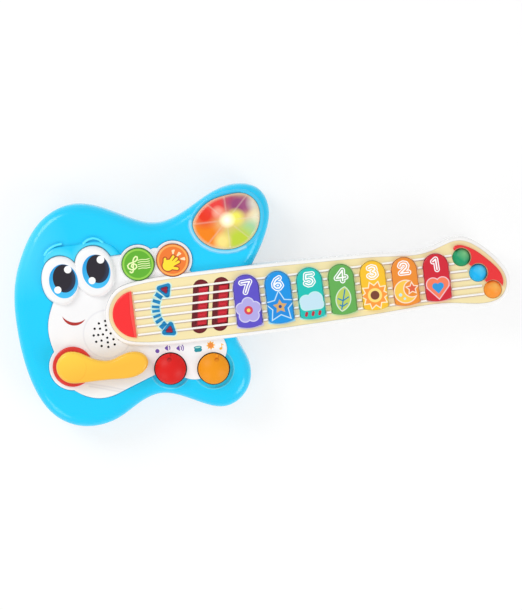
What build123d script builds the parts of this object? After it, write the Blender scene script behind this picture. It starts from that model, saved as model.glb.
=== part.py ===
from build123d import *
from math import atan2, cos, degrees, hypot, radians, sin
import os

# A toy electric guitar that lies on its back. All sizes are in millimetres.
# Everything is drawn about the neck: X runs along it towards the headstock, Y across it and Z up
# from the table. The last lines move each piece so that the origin ends under the toy's middle.

# ---------------------------------------------------------------- sizes: body
body_depth = 35.0  # flat back to the flat of the blue front
split_height = 18.0  # where the front and back shells meet
wall = 2.2
front_wall = 3.0
back_wall = 2.4
front_round = 10.0
back_round = 8.0
lip_height = 2.0  # tongue of the back shell that centres the front shell
lip_wall = 1.0
lid_height = 3.0  # blue lids behind the white eye mounds
brow_radius = 1.3
brow_sink = 0.4  # how deep a brow's round bead sits in the front

# ---------------------------------------------------------------- sizes: face panel
panel_pocket = 1.0
panel_thickness = 2.4
panel_edge = 0.8
eye_height = 5.0
eye_round = 4.4
collar_width = 2.6
collar_height = 0.8
grille_hole_r = 1.0
sound_hole_r = 13.0

# ---------------------------------------------------------------- sizes: neck
neck_back_z = 14.0
neck_split_z = 26.0
neck_top_z = 40.0
neck_back_round = 6.0
neck_edge_round = 1.4
rim_width = 2.9  # white rim round the cream plate
ledge_width = 0.9
ledge_thickness = 2.0
heel_x = 28.0  # from here to the headstock the neck is a full-depth box
bridge_pad_x = -31.0  # solid pad under the bridge ends here
head_web_x = 225.6  # web that carries the tuning beads starts here
fretboard_thickness = 2.4
fretboard_drop = 0.2
neck_boss_r = 3.6
neck_boss_inset = 2.2  # boss middle from the inside of the side wall
neck_counterbore_r = 2.8
heel_post_z = 24.0  # top of the bosses that the heel screws run into
rib_half = 0.8

# ---------------------------------------------------------------- sizes: keys, strings, strum bar
key_count = 7
key_pitch = 26.03
key_1_x = 213.5
key_width = 20.5
key_top_1, key_top_7 = 20.1, 21.4
key_bottom_1, key_bottom_7 = -18.8, -22.0
key_bottom_sag = 1.3
key_corner = 2.4
key_proud = 3.4
key_wall = 1.8
key_edge = 1.2
key_travel = 1.5
flange_reach = 1.2
flange_thickness = 1.2
flange_low, flange_high = -14.0, 2.0
key_stem_r = 2.5
key_spine = 1.6
string_pitch = 6.86
string_width = 1.7
string_height = 1.4
string_start = -35.0
string_ends = [227.5, 229.0, 239.0, 240.5, 249.5, 250.5]
string_key_gap = 0.9
string_bead_gap = 0.9
bridge_centre_x = -34.5
bridge_radius = 19.2
bridge_flat_x = -36.2
bridge_height = 2.6
bridge_edge = 1.6
bridge_peg_points = [(-48.0, 0.0), (-41.0, 12.5), (-41.0, -12.5)]
bridge_peg_r = 1.5
slot_width = 13.4
slot_half_length = 22.0
slot_slope = 0.163  # sideways run of a slot per millimetre across the neck
slot_centres = [18.5, 35.2]
strum_travel = 1.0
strum_bar_width = 8.8
strum_bar_reach = 16.4  # half length of the bar and its travel together
strum_bar_shift = 1.6
strum_plate_half = 22.9
strum_plate_margin = 1.2
strum_plate_thickness = 1.8
strum_bump_width = 2.4
strum_bump_inset = 1.2
strum_bump_height = 0.9
strum_foot = 1.9  # space under the slider for its springs
strum_foot_width = 2.0
strum_foot_half = 16.0
strum_post_r = 2.0
leaf_half = 7.5
leaf_thickness = 0.4
leaf_post_y = 9.4
leaf_post_r = 1.1
leaf_end_gap = 0.3
tray_floor = 1.4
tray_ends = (1.0, 47.0)
tray_half_width = 22.6
tray_screw_points = [(4.0, 19.0), (4.0, -19.0), (44.2, -20.2)]
tray_boss_r = 2.3

# ---------------------------------------------------------------- sizes: buttons, knobs, whammy
button_radius = 13.4
button_centres = {"melody_button": (-28.1, 40.3), "clap_button": (0.5, 40.3)}
button_tabs = {"melody_button": (90, 180, 270), "clap_button": (90, 0, 270)}
button_proud = 3.2
button_wall = 1.7
button_travel = 1.5
button_edge = 1.3
button_stem_r = 3.0
button_web = 1.4
button_web_height = 4.0
button_board_span = (-50.5, 22.5, 31.5, 55.5)
button_post_points = [(-13.8, 51.5), (-47.0, 35.5), (19.0, 35.5)]
tab_reach = 1.9
tab_width = 5.0
tab_thickness = 1.7
knob_radius = 12.6
knob_centres = {"volume_knob": (-12.0, -48.2), "mode_knob": (23.1, -52.3)}
knob_pointer_deg = {"volume_knob": 90.0, "mode_knob": 69.0}
knob_proud = 9.0
knob_skirt = 2.6  # straight side of the knob above the panel
knob_wall = 1.8
knob_shaft_r = 3.0
knob_foot_gap = 0.4  # under the knob's skirt
knob_edge = 1.5
pointer_length = 3.4
pointer_half = 1.1
pointer_height = 3.2
dimple_r = 1.7
dimple_inset = 6.2
well_depth = 6.0
well_floor = 1.6
well_gap = 0.9
well_wall = 1.8
well_rim_width = 3.2
well_rim_depth = 1.3
whammy_centre = (-91.4, -37.0)
whammy_ring_r = 16.5
whammy_ring_height = 2.8
whammy_lift = 0.4  # air between the base ring and the lever
whammy_thickness = 8.2
whammy_edge = 3.2
whammy_shaft_r = 6.0
whammy_tip_r = 3.6
clip_radius = 10.0
clip_arm_reach = 14.5
clip_arm_half = 2.0
clip_press = 0.02
spring_outer_r = 5.6
spring_inner_r = 4.2
spring_height = 4.4
spring_leg = 0.8
spring_leg_y = 4.0
clip_thickness = 1.4

# ---------------------------------------------------------------- sizes: headstock, lens
bead_radius = 7.6
bead_centres = [(235.3, 14.7), (247.5, 0.5), (257.9, -14.5)]
bead_names = ["bead_green", "bead_blue", "bead_orange"]
bead_sink = 2.8  # bead centre below the top of the neck
bead_pin_r = 1.2
bead_pin_reach = 9.0
cradle_wall = 1.6
cap_bead_gap = 0.5
crescent_height = 2.8
crescent_edge = 1.2
lens_rim_width = 3.2
lens_rim_height = 1.4
lens_ledge = 1.8
lens_seat_depth = 1.8
lens_height = 5.6
lens_round = 3.8
lens_wall = 1.8
reflector_inset = 2.2
reflector_depth = 8.8
reflector_wall = 1.2
reflector_gap = 0.2

# ---------------------------------------------------------------- sizes: inside
speaker_centre = (-60.5, -13.6)
speaker_radius = 20.0
speaker_depth = 12.0
speaker_flange = 1.2
speaker_band = 2.7  # width of the flat rim that the cone is glued to
speaker_screw_angles = (30, 150, 270)
speaker_tab = (8.0, 2.4, 5.0)
cone_throat_r = 5.0
cone_wall = 0.4
dust_cap_r = 5.2
clamp_head_r = 4.2
clamp_head = 1.4
magnet_radius = 11.0
magnet_height = 7.0
cell_radius = 7.15
cell_length = 49.3
cell_nub = 1.2
cell_nub_r = 2.6
cell_room = 0.6  # between the cells and the door
cell_pitch = 14.9
cell_count = 3
tub_centre = (-3.2, 0.0)
tub_wall = 1.8
tub_roof = 1.8
tub_end_room = 2.2  # room for a contact at each end of the cells
contact_plate = 0.5
contact_half = 5.5
contact_spring_r, contact_stud_r = 3.0, 2.0
lead_rows = [16.0, 18.6]
lead_z = 13.5
lead_hole_gap = 0.15
wire_r = 0.6
lead_bend = 2.2
door_thickness = 2.2
door_margin = 8.0
door_inset = 0.2  # outer face of the door above the table
door_corner = 4.0
door_post_z = 12.0
door_screw_gap = 0.08
grip_grooves = (-16, -12, -8, 8, 12, 16)
grip_half_width, grip_half_length, grip_depth = 0.7, 14.0, 0.4
board_thickness = 1.6
main_board_centre = (-78.0, 31.0)
main_board_size = (52.0, 46.0)
main_board_z = 9.0
main_post_points = [(-100.5, 13.5), (-100.5, 50.5), (-55.5, 50.5), (-71.0, 13.5)]
socket_x = (-60.0, -54.0)
socket_half = 2.9
socket_height = 2.4
ribbon_y = 12.0
ribbon_width = 5.0
ribbon_thickness = 0.3
key_board_z = 27.0
key_board_half = 15.0
key_board_start = 46.0
key_board_end = 224.0
dome_height = key_travel + 1.7  # a dome folds by a little more than the travel
dome_radius = 4.5
dome_top_r = 2.6
dome_sheet = 0.8
dome_pad_half = 7.0
button_board_drop = tab_thickness + button_travel + 4.8  # board top below the ceiling of the body
control_board_z = 19.4
switch_size = 13.0
switch_height = 6.0
switch_floor = 0.8
control_board_span = (-22.0, 33.0, -63.0, -40.5)
control_post_points = [(5.5, -43.5), (5.5, -60.5)]
light_board_centre = (47.0, 66.0)
light_board_size = (40.0, 24.0)
light_post_points = [(33.0, 60.0), (61.0, 73.0)]
led_points = [(38.0, 70.0), (48.0, 60.0), (50.0, 73.0), (59.0, 63.0)]
led_radius = 2.5
led_height = 5.0

# ---------------------------------------------------------------- sizes: screws
screw_r = 1.4
screw_head_r = 2.7
screw_head = 1.8
boss_r = 3.6
post_r = 4.6
counterbore_r = 3.2
counterbore_roof = 12.0
board_screw_bite = 8.0
heel_web = 4.0  # back shell left between the heel screw's head and the neck
body_screw_points = [
    (-70.0, 84.0), (-122.0, -5.0), (-95.0, -74.0), (-36.0, -63.5),
    (42.0, -68.0), (8.0, 62.5), (60.0, 37.5), (-111.0, 56.0),
]
heel_screw_points = [(38.0, 15.0), (38.0, -15.0)]
pad_screw_points = [(-36.0, 12.0), (-36.0, -12.0)]

# ---------------------------------------------------------------- clearances
seat_gap = 0.15  # round a piece that is dropped into a pocket
slide_gap = 0.3  # round a piece that moves in an opening
shaft_gap = 0.05  # radial running clearance of a shaft
thread_gap = 0.05  # radial clearance of a screw in its hole
lay_gap = 0.1  # under a plate that slides on another

# ---------------------------------------------------------------- outlines
body_points = [
    (72.5, 41), (81.5, 60), (83.6, 74), (77.5, 89), (59, 95.6), (38, 91), (16.9, 79.8), (-10, 71.5),
    (-36, 80.5), (-56, 90.5), (-75.6, 94.8), (-93, 91), (-109, 79.3), (-121.5, 60.5), (-129.5, 41),
    (-133.4, 20), (-133.8, 0), (-131.6, -26), (-125.5, -52), (-113.5, -74), (-96, -86), (-78, -88.6),
    (-60, -84.6), (-40, -73.5), (-22.5, -68.3), (-5, -72.8), (12, -81), (29.4, -85.2), (45, -77.5),
    (53, -62), (51.5, -47.5), (45, -31), (45.5, -12), (54, 12),
]
neck_points = [
    (-56.9, 0), (-53.8, -11.5), (-45.5, -20), (-34, -23.3), (-18, -24.9), (0, -25.5), (36, -25.7),
    (73, -25.6), (125, -24.4), (176, -22.4), (205, -20.8), (221, -21.3), (238, -23.8), (252, -24.8),
    (263, -21.8), (269, -14), (269.5, -4.5), (264.5, 5.5), (256.5, 15.3), (248, 22.8), (239, 27.8),
    (231, 28.6), (222, 26.3), (212, 23), (203, 21.3), (176, 22.4), (125, 24.4), (73, 25.6), (36, 25.7),
    (0, 25.5), (-18, 24.9), (-34, 23.3), (-45.5, 20), (-53.8, 11.5),
]
cheek_points = [
    (-101, 17), (-104.6, 9), (-107.2, 0), (-107.6, -11), (-105, -24), (-102, -38), (-99, -49), (-92, -57),
    (-84, -62.2), (-72, -65.6), (-60, -64.3), (-49, -60.3), (-38, -56.3), (-27, -52.3), (-13, -50.5),
    (-1.5, -56.8), (6, -59.4), (13, -59.2), (24, -54), (33, -45), (36, -36), (34, -28), (30, -10),
    (24, 12), (13.5, 29.7), (4, 40), (-6, 48.5), (-13.8, 51.8), (-21, 48.5), (-30, 46), (-42, 49.7),
    (-50, 49.6), (-62, 46), (-79, 40), (-94, 30),
]
eye_left_points = [
    (-108.5, 35), (-107.6, 27.5), (-104.4, 20.6), (-98.5, 15.8), (-90, 14), (-80.5, 22), (-77, 35),
    (-79, 47), (-85, 53), (-93, 54.8), (-101.5, 51.8), (-106.6, 44.6),
]
eye_right_points = [
    (-80.8, 41), (-79.6, 30), (-73, 20.5), (-60, 17.6), (-49.5, 27), (-47.6, 41), (-50.8, 51.5),
    (-57, 57.9), (-65.5, 60), (-73.5, 57.4), (-78.6, 51),
]
lens_points = [
    (20, 64.5), (28.5, 50), (43, 43.8), (57, 44.8), (69, 52.5), (75.5, 66), (74.3, 79), (66, 87.3),
    (52, 88.3), (36, 84.5), (24, 75),
]
lever_points = [
    (-91.4, -24.2), (-99.5, -26.7), (-104.2, -34), (-103, -42.5), (-96.5, -48.8), (-86, -50.4),
    (-72, -50.3), (-57, -50.7), (-46, -51), (-37, -49), (-31, -44.3), (-29.3, -38.5), (-33, -32.5),
    (-40, -30.2), (-47, -30.8), (-53.5, -33), (-60, -34.9), (-67, -34.3), (-76, -30.8), (-84.5, -25.9),
]
crescent_points = [
    (229.6, 21.5), (230.4, 24.2), (233.5, 25), (240, 23.3), (247, 19.2), (254, 13), (260.5, 6.2),
    (265, 0), (267, -6), (266.8, -10.5), (265, -13.6),
]
lid_points = [
    (-104.6, 50), (-103.2, 56.6), (-97, 61.2), (-88.5, 62.2), (-78, 62.3), (-69, 62.8), (-60, 62.8),
    (-52, 60.6), (-45.4, 55.8), (-42, 49.5), (-48, 40), (-75, 34), (-97, 40),
]
brow_arcs = [
    ((-103.2, 56.8), (-96.6, 62.4), (-88.8, 64.2)),
    ((-70.4, 62.4), (-62.5, 65.8), (-55.0, 61.6)),
]

# ---------------------------------------------------------------- heights that follow
ceiling_z = body_depth - front_wall
panel_z = body_depth - panel_pocket
panel_top = panel_z + panel_thickness
fret_top = neck_top_z - fretboard_drop
fret_seat = fret_top - fretboard_thickness
ledge_z = fret_seat - ledge_thickness
strum_top = fret_seat - slide_gap
strum_z = strum_top - strum_plate_thickness
tray_top = strum_z - strum_foot
strum_bar_half = strum_bar_reach - strum_travel
strum_mid_x = sum(slot_centres) / 2
key_top_z = fret_top + key_proud
dome_sheet_z = key_board_z + board_thickness
dome_top_z = dome_sheet_z + dome_sheet + dome_height
well_z = body_depth - well_depth
cell_z = door_inset + door_thickness + cell_room + cell_radius
tub_height = cell_z + cell_radius + cell_room + tub_roof
tub_length = cell_length + cell_nub + 2 * tub_end_room
tub_width = cell_count * cell_pitch + 0.6
door_length = tub_length + 2 * door_margin
door_width = tub_width + 2.0
door_screw_points = [
    (tub_centre[0] + side * (door_length - door_margin) / 2, tub_centre[1]) for side in (-1, 1)
]
heel_counterbore = neck_back_z - heel_web
neck_counterbore = neck_back_z + 3.0
switch_z = control_board_z + board_thickness
button_board_top = ceiling_z - button_board_drop
light_board_z = body_depth - lens_seat_depth - reflector_depth - board_thickness
clip_z = ceiling_z - slide_gap - clip_thickness
bead_z = neck_top_z - bead_sink


# ---------------------------------------------------------------- drawing helpers
def curve(points):
    return Spline(*points, periodic=True)


def grown(points, distance):
    """The same closed, anticlockwise curve, moved out by a distance."""
    moved = []
    for before, (x, y), after in zip(points[-1:] + points[:-1], points, points[1:] + points[:1]):
        back = (x - before[0], y - before[1])
        ahead = (after[0] - x, after[1] - y)
        back_share, ahead_share = 1 / hypot(*back) ** 2, 1 / hypot(*ahead) ** 2
        run = (back[0] * back_share + ahead[0] * ahead_share, back[1] * back_share + ahead[1] * ahead_share)
        pace = distance / hypot(*run)
        moved.append((x + run[1] * pace, y - run[0] * pace))
    return moved


def outline(points, distance=0.0):
    return make_face(Wire([curve(grown(points, distance) if distance else points)]))


def slab(face, low, high):
    return extrude(Pos(0, 0, low) * face, high - low)


def rod(x, y, low, high, radius):
    return slab(Pos(x, y) * Circle(radius), low, high)


def block(x0, x1, y0, y1, low, high):
    return Pos((x0 + x1) / 2, (y0 + y1) / 2, (low + high) / 2) * Box(x1 - x0, y1 - y0, high - low)


def rounded_top(solid, radius):
    return fillet(solid.edges().group_by(Axis.Z)[-1], radius)


def rounded_bottom(solid, radius):
    return fillet(solid.edges().group_by(Axis.Z)[0], radius)


def screw(x, y, head_z, tip_z):
    """A pan-head screw: its head lies beyond head_z, away from the tip."""
    away = 1 if tip_z < head_z else -1
    low, high = sorted((head_z, head_z + away * screw_head))
    return rod(x, y, low, high, screw_head_r) + rod(x, y, min(head_z, tip_z), max(head_z, tip_z), screw_r)


def screw_hole(x, y, low, high):
    return rod(x, y, low, high, screw_r + thread_gap)


def tube_along(points, radii, radius):
    path = FilletPolyline(*points, radius=radii)
    return sweep(Plane(origin=path @ 0, z_dir=path % 0) * Circle(radius), path=path)


def step_inset(round_r, cap):
    """How far in a square-edged cavity starts, to keep a wall under an outer round of round_r."""
    return round_r - ((round_r - 0.85 * wall) ** 2 - (round_r - cap) ** 2) ** 0.5


def polar(centre, radius, angle_deg):
    return (centre[0] + radius * cos(radians(angle_deg)), centre[1] + radius * sin(radians(angle_deg)))


def neck_half(x):
    """Half the width of the cream plate at a place along the neck."""
    side = sorted((p[0], -p[1]) for p in neck_points if p[1] < 0 and 0 <= p[0] <= 222)
    for (x0, y0), (x1, y1) in zip(side, side[1:]):
        if x <= x1:
            return y0 + (y1 - y0) * (x - x0) / (x1 - x0)
    return side[-1][1]


def key_x(number):
    return key_1_x - key_pitch * (number - 1)


def key_reach(number):
    share = (number - 1) / (key_count - 1)
    low = key_bottom_1 + (key_bottom_7 - key_bottom_1) * share
    high = key_top_1 + (key_top_7 - key_top_1) * share
    return low, high


def key_face(number, grow=0.0):
    """Arched key outline: half-round top, straight sides, shallow curved foot."""
    x = key_x(number)
    low, high = key_reach(number)
    half = key_width / 2 + grow
    low, high = low - grow, high + grow
    shoulder = high - half
    corner = key_corner + grow
    foot = low + key_bottom_sag
    wire = Wire([
        Line((x + half, foot + corner), (x + half, shoulder)),
        ThreePointArc((x + half, shoulder), (x, high), (x - half, shoulder)),
        Line((x - half, shoulder), (x - half, foot + corner)),
        RadiusArc((x - half, foot + corner), (x - half + corner, foot), -corner),
        ThreePointArc((x - half + corner, foot), (x, low), (x + half - corner, foot)),
        RadiusArc((x + half - corner, foot), (x + half, foot + corner), -corner),
    ])
    return make_face(wire)


def slot_x(centre, y):
    return centre + slot_slope * y


def slanted_slot(centre, width, half_length):
    """A round-ended slot whose middle line leans over by slot_slope."""
    straight = half_length - width / 2
    ends = [(slot_x(centre, -straight), -straight), (slot_x(centre, straight), straight)]
    return SlotCenterToCenter(hypot(ends[1][0] - ends[0][0], 2 * straight), width).located(
        Location((centre, 0, 0), (0, 0, degrees(atan2(2 * straight, ends[1][0] - ends[0][0]))))
    )


def bar_face(x_left, x_right, half):
    """A parallelogram that leans with the slots; its X values are those at y = 0."""
    lean = slot_slope * half
    return make_face(Polyline(
        (x_left - lean, -half), (x_right - lean, -half), (x_right + lean, half), (x_left + lean, half),
        close=True,
    ))


# ---------------------------------------------------------------- shared shapes
neck_outer = outline(neck_points, rim_width)
neck_pocket = outline(neck_points, rim_width + seat_gap)
neck_inner = outline(neck_points, rim_width - wall)
neck_plate = outline(neck_points)
neck_window = outline(neck_points, -ledge_width)
far_right = 400.0
high_up = 80.0


def button_face(centre, radius):
    return Pos(*centre) * Circle(radius)


def panel_face(growth=0.0):
    """White face panel: cheeks, eye mounds, button collars and the round end under the whammy."""
    face = outline(cheek_points, growth)
    for points in (eye_left_points, eye_right_points):
        face += outline(points, growth)
    for centre in button_centres.values():
        face += button_face(centre, button_radius + slide_gap + collar_width + growth)
    face += button_face(whammy_centre, whammy_ring_r + 3.0 + growth)
    return face - outline(neck_points, rim_width + seat_gap - growth)


def grille_points():
    """Three rings of holes round the speaker's middle; the neck covers the rest of the pattern."""
    cx, cy = speaker_centre
    spots = [polar(speaker_centre, 3.2, a) for a in (0, 90, 180, 270)]
    spots += [polar(speaker_centre, 7.0, a) for a in range(0, 360, 45)]
    spots += [polar(speaker_centre, 10.8, a) for a in range(0, 360, 30)]
    return [p for p in spots if p[0] < cx + 3.5 or p[1] < cy - 4.0]


# ---------------------------------------------------------------- body
def boss_spots():
    """Each screw boss under the body's front: (x, y, lowest z)."""
    spots = [(x, y, split_height) for x, y in body_screw_points]
    spots += [(x, y, button_board_top) for x, y in button_post_points]
    spots += [(x, y, switch_z) for x, y in control_post_points]
    spots += [(x, y, ceiling_z - speaker_flange) for x, y in speaker_screw_spots()]
    return spots


def speaker_screw_spots():
    return [polar(speaker_centre, speaker_radius + boss_r - 0.7, angle) for angle in speaker_screw_angles]


def neck_channel():
    """The full-depth pocket in both body shells that the neck's heel sits in."""
    region = slab(neck_pocket, neck_back_z - seat_gap, high_up)
    return region & block(heel_x - seat_gap, far_right, -60, 60, 0, high_up + 1)


def body_front_shell():
    shell = rounded_top(slab(outline(body_points), split_height, body_depth), front_round)
    lid = slab(outline(lid_points), ceiling_z, body_depth + lid_height)
    shell += rounded_top(lid, lid_height - 0.1)
    brow_z = body_depth + brow_radius - brow_sink
    for start, middle, end in brow_arcs:
        path = ThreePointArc(*((x, y, brow_z) for x, y in (start, middle, end)))
        shell += sweep(Plane(origin=path @ 0, z_dir=path % 0) * Circle(brow_radius), path=path)
        shell += [Pos(path @ 0) * Sphere(brow_radius), Pos(path @ 1) * Sphere(brow_radius)]
    rim = slab(outline(lens_points, lens_rim_width), ceiling_z - 3.0, body_depth + lens_rim_height)
    shell += rounded_top(rim, lens_rim_height - 0.1)
    shoulder = body_depth - front_round
    inset = step_inset(front_round, front_wall)
    shell -= [
        slab(outline(body_points, -wall), split_height - 1.0, shoulder),
        slab(outline(body_points, -inset), shoulder - 1.0, ceiling_z),
    ]
    seat = slab(outline(lens_points, -lens_ledge), ceiling_z - lens_seat_depth, body_depth)
    bosses = [rod(x, y, low, ceiling_z + 1.0, boss_r) for x, y, low in boss_spots()]
    wells = [
        rod(*centre, well_z - well_floor, ceiling_z + 1.0, knob_radius + well_gap + well_wall)
        for centre in knob_centres.values()
    ]
    shell += bosses + wells
    cuts = [slab(panel_face(seat_gap), panel_z, high_up), neck_channel(), seat]
    cuts.append(slab(neck_pocket, body_depth, high_up))
    cuts.append(slab(outline(lens_points, seat_gap), body_depth - lens_seat_depth, high_up))
    cuts.append(block(bridge_pad_x, heel_x + 1.0, -23.0, 23.0, ceiling_z - 1.0, high_up))
    for x, y in pad_screw_points:
        cuts.append(screw_hole(x, y, ceiling_z - 1.0, body_depth + 1.0))
    for x, y, low in boss_spots():
        cuts.append(screw_hole(x, y, low - 1.0, min(low + 9.0, ceiling_z)))
    for centre in knob_centres.values():
        cuts.append(rod(*centre, well_z, high_up, knob_radius + well_gap))
        cuts.append(rod(*centre, well_z - well_floor - 1.0, well_z + 1.0, knob_shaft_r + shaft_gap))
        rim_r = knob_radius + well_gap + well_rim_width
        cuts.append(rod(*centre, body_depth - well_rim_depth, high_up, rim_r))
    for centre in button_centres.values():
        cuts.append(rod(*centre, ceiling_z - 1.0, high_up, button_radius + slide_gap))
    cuts.append(rod(*whammy_centre, ceiling_z - 1.0, high_up, whammy_shaft_r + shaft_gap))
    sound = rod(*speaker_centre, ceiling_z - 1.0, body_depth, sound_hole_r)
    cuts.append(sound - slab(neck_outer, 0, high_up))
    return shell - cuts


def body_back_shell():
    shell = rounded_bottom(slab(outline(body_points), 0, split_height), back_round)
    shell += slab(outline(body_points, -wall - seat_gap), split_height - 1.0, split_height + lip_height)
    lip_foot = split_height - lip_height
    shell -= [
        slab(outline(body_points, -step_inset(back_round, back_wall)), back_wall, back_round + 1.0),
        slab(outline(body_points, -wall), back_round, lip_foot),
        slab(outline(body_points, -wall - seat_gap - lip_wall), lip_foot - 1.0, high_up),
    ]
    shell += [rod(x, y, back_wall - 1.0, split_height, post_r) for x, y in body_screw_points]
    shell += [rod(x, y, back_wall - 1.0, neck_back_z, post_r) for x, y in heel_screw_points]
    shell += [rod(x, y, back_wall - 1.0, main_board_z, boss_r) for x, y in main_post_points]
    shell += [rod(x, y, back_wall - 1.0, light_board_z, boss_r) for x, y in light_post_points]
    tx, ty = tub_centre
    half_l, half_w = tub_length / 2, tub_width / 2
    tub_outside = Rectangle(tub_length + 2 * tub_wall, tub_width + 2 * tub_wall)
    shell += slab(Pos(tx, ty) * tub_outside, 0.5, tub_height)
    for x, y in door_screw_points:
        shell += rod(x, y, 0.5, door_post_z, boss_r)
    door_top = door_inset + door_thickness
    cuts = [neck_channel()]
    cuts.append(block(tx - half_l, tx + half_l, ty - half_w, ty + half_w, -1.0, tub_height - tub_roof))
    recess_size = (door_length + 2 * slide_gap, door_width + 2 * slide_gap)
    recess = RectangleRounded(*recess_size, door_corner + slide_gap)
    cuts.append(slab(Pos(tx, ty) * recess, -1.0, door_top))
    for x, y in body_screw_points:
        cuts.append(rod(x, y, -1.0, counterbore_roof, counterbore_r))
        cuts.append(screw_hole(x, y, counterbore_roof - 1.0, split_height + 1.0))
        cuts.append(rod(x, y, split_height, split_height + lip_height + 1.0, boss_r + slide_gap))
    for x, y in heel_screw_points:
        cuts.append(rod(x, y, -1.0, heel_counterbore, counterbore_r))
        cuts.append(screw_hole(x, y, heel_counterbore - 1.0, neck_back_z + 1.0))
    for x, y in main_post_points:
        cuts.append(screw_hole(x, y, back_wall, main_board_z + 1.0))
    for x, y in light_post_points:
        cuts.append(screw_hole(x, y, light_board_z - board_screw_bite, light_board_z + 1.0))
    for x, y in door_screw_points:
        cuts.append(rod(x, y, door_top - 1.0, door_post_z - 1.5, screw_r + door_screw_gap))
    for y in lead_rows:
        lead_hole = Cylinder(wire_r + lead_hole_gap, 3 * tub_wall)
        cuts.append(Pos(tx - half_l, y, lead_z) * Rot(0, 90, 0) * lead_hole)
    return shell - cuts


# ---------------------------------------------------------------- face panel
def face_panel():
    faces = [outline(cheek_points), Pos(*whammy_centre) * Circle(whammy_ring_r + 3.0)]
    panel = Part() + [rounded_top(slab(face, panel_z, panel_top), panel_edge) for face in faces]
    for points in (eye_left_points, eye_right_points):
        mound = slab(outline(points, -0.25), panel_z + 0.5, panel_top + eye_height)
        panel += rounded_top(mound, eye_round)
    for centre in button_centres.values():
        collar_r = button_radius + slide_gap + collar_width - 0.4
        collar = rod(*centre, panel_z + 0.5, panel_top + collar_height, collar_r)
        panel += rounded_top(collar, collar_height - 0.1)
    cuts = []
    for centre in button_centres.values():
        cuts.append(rod(*centre, 0, high_up, button_radius + slide_gap))
    for centre in knob_centres.values():
        cuts.append(rod(*centre, 0, high_up, knob_radius + well_gap))
    cuts.append(rod(*whammy_centre, 0, high_up, whammy_shaft_r + shaft_gap))
    for x, y in grille_points():
        cuts.append(rod(x, y, 0, high_up, grille_hole_r))
    return panel - slab(neck_pocket, 0, high_up) - cuts


# ---------------------------------------------------------------- neck
def neck_screw_spots():
    """Screws that close the neck: a pair between keys, beside each side wall."""
    spots = []
    for number in (1.5, 3.5, 5.5):
        x = key_x(number)
        y = neck_half(x) + rim_width - wall - neck_boss_inset
        spots += [(x, y), (x, -y)]
    return spots


def bead_direction(index):
    first, last = max(index - 1, 0), min(index + 1, len(bead_centres) - 1)
    (x0, y0), (x1, y1) = bead_centres[first], bead_centres[last]
    return degrees(atan2(y1 - y0, x1 - x0))


def bead_axis(index, radius, half_length):
    x, y = bead_centres[index]
    turn = Rot(0, 0, bead_direction(index)) * Rot(0, 90, 0)
    return Pos(x, y, bead_z) * turn * Cylinder(radius, 2 * half_length)


def bead_wells(extra=0.0):
    return [Pos(x, y, bead_z) * Sphere(bead_radius + slide_gap + extra) for x, y in bead_centres]


def pin_grooves():
    return [bead_axis(i, bead_pin_r + shaft_gap, bead_pin_reach + 0.1) for i in range(len(bead_centres))]


def neck_front_housing():
    housing = rounded_top(slab(neck_outer, neck_split_z, neck_top_z), neck_edge_round)
    housing -= slab(neck_plate, fret_seat, high_up)
    housing -= slab(neck_inner, neck_split_z - 1.0, ledge_z)
    window = slab(neck_window, ledge_z - 1.0, fret_seat + 1.0)
    housing -= window & block(bridge_pad_x, head_web_x, -60, 60, 0, high_up)
    cups = bead_wells(cradle_wall)
    below_seat = block(head_web_x - 20, far_right, -60, 60, neck_split_z, fret_seat)
    housing += [cup & below_seat for cup in cups]
    housing -= block(-100, heel_x, -60, 60, 0, body_depth)
    for x, y in neck_screw_spots():
        housing += rod(x, y, neck_split_z, ledge_z + 1.0, neck_boss_r)
    cuts = bead_wells() + pin_grooves()
    for x, y in neck_screw_spots():
        cuts.append(screw_hole(x, y, neck_split_z - 1.0, neck_split_z + 7.0))
    for x, y in pad_screw_points:
        cuts.append(screw_hole(x, y, body_depth - 1.0, fret_seat))
    for x, y in bridge_peg_points:
        cuts.append(rod(x, y, body_depth - 1.0, high_up, bridge_peg_r + seat_gap))
    for centre in button_centres.values():
        cuts.append(rod(*centre, 0, high_up, button_radius + slide_gap))
    return housing - cuts


def neck_back_housing():
    housing = rounded_bottom(slab(neck_outer, neck_back_z, neck_split_z), neck_back_round)
    inset = step_inset(neck_back_round, wall)
    housing -= [
        slab(neck_inner, neck_back_z + neck_back_round, neck_split_z + 1.0),
        slab(outline(neck_points, rim_width - inset), neck_back_z + wall, neck_split_z),
    ]
    housing -= block(-100, heel_x, -60, 60, 0, high_up)
    for number in (6.5, 4.5, 2.5, 0.65):
        x = key_x(number)
        y = neck_half(x) - 4.0
        housing += block(x - rib_half, x + rib_half, -y, y, neck_back_z + 1.0, key_board_z)
    housing += [rod(x, y, neck_back_z + 1.0, neck_split_z, neck_boss_r) for x, y in neck_screw_spots()]
    housing += [rod(x, y, neck_back_z + 1.0, heel_post_z, boss_r) for x, y in heel_screw_points]
    cuts = []
    for x, y in neck_screw_spots():
        cuts.append(rod(x, y, neck_back_z - 1.0, neck_counterbore, neck_counterbore_r))
        cuts.append(screw_hole(x, y, neck_counterbore - 1.0, neck_split_z + 1.0))
    for x, y in heel_screw_points:
        cuts.append(screw_hole(x, y, neck_back_z - 1.0, heel_post_z - 1.5))
    return housing - cuts


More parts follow.
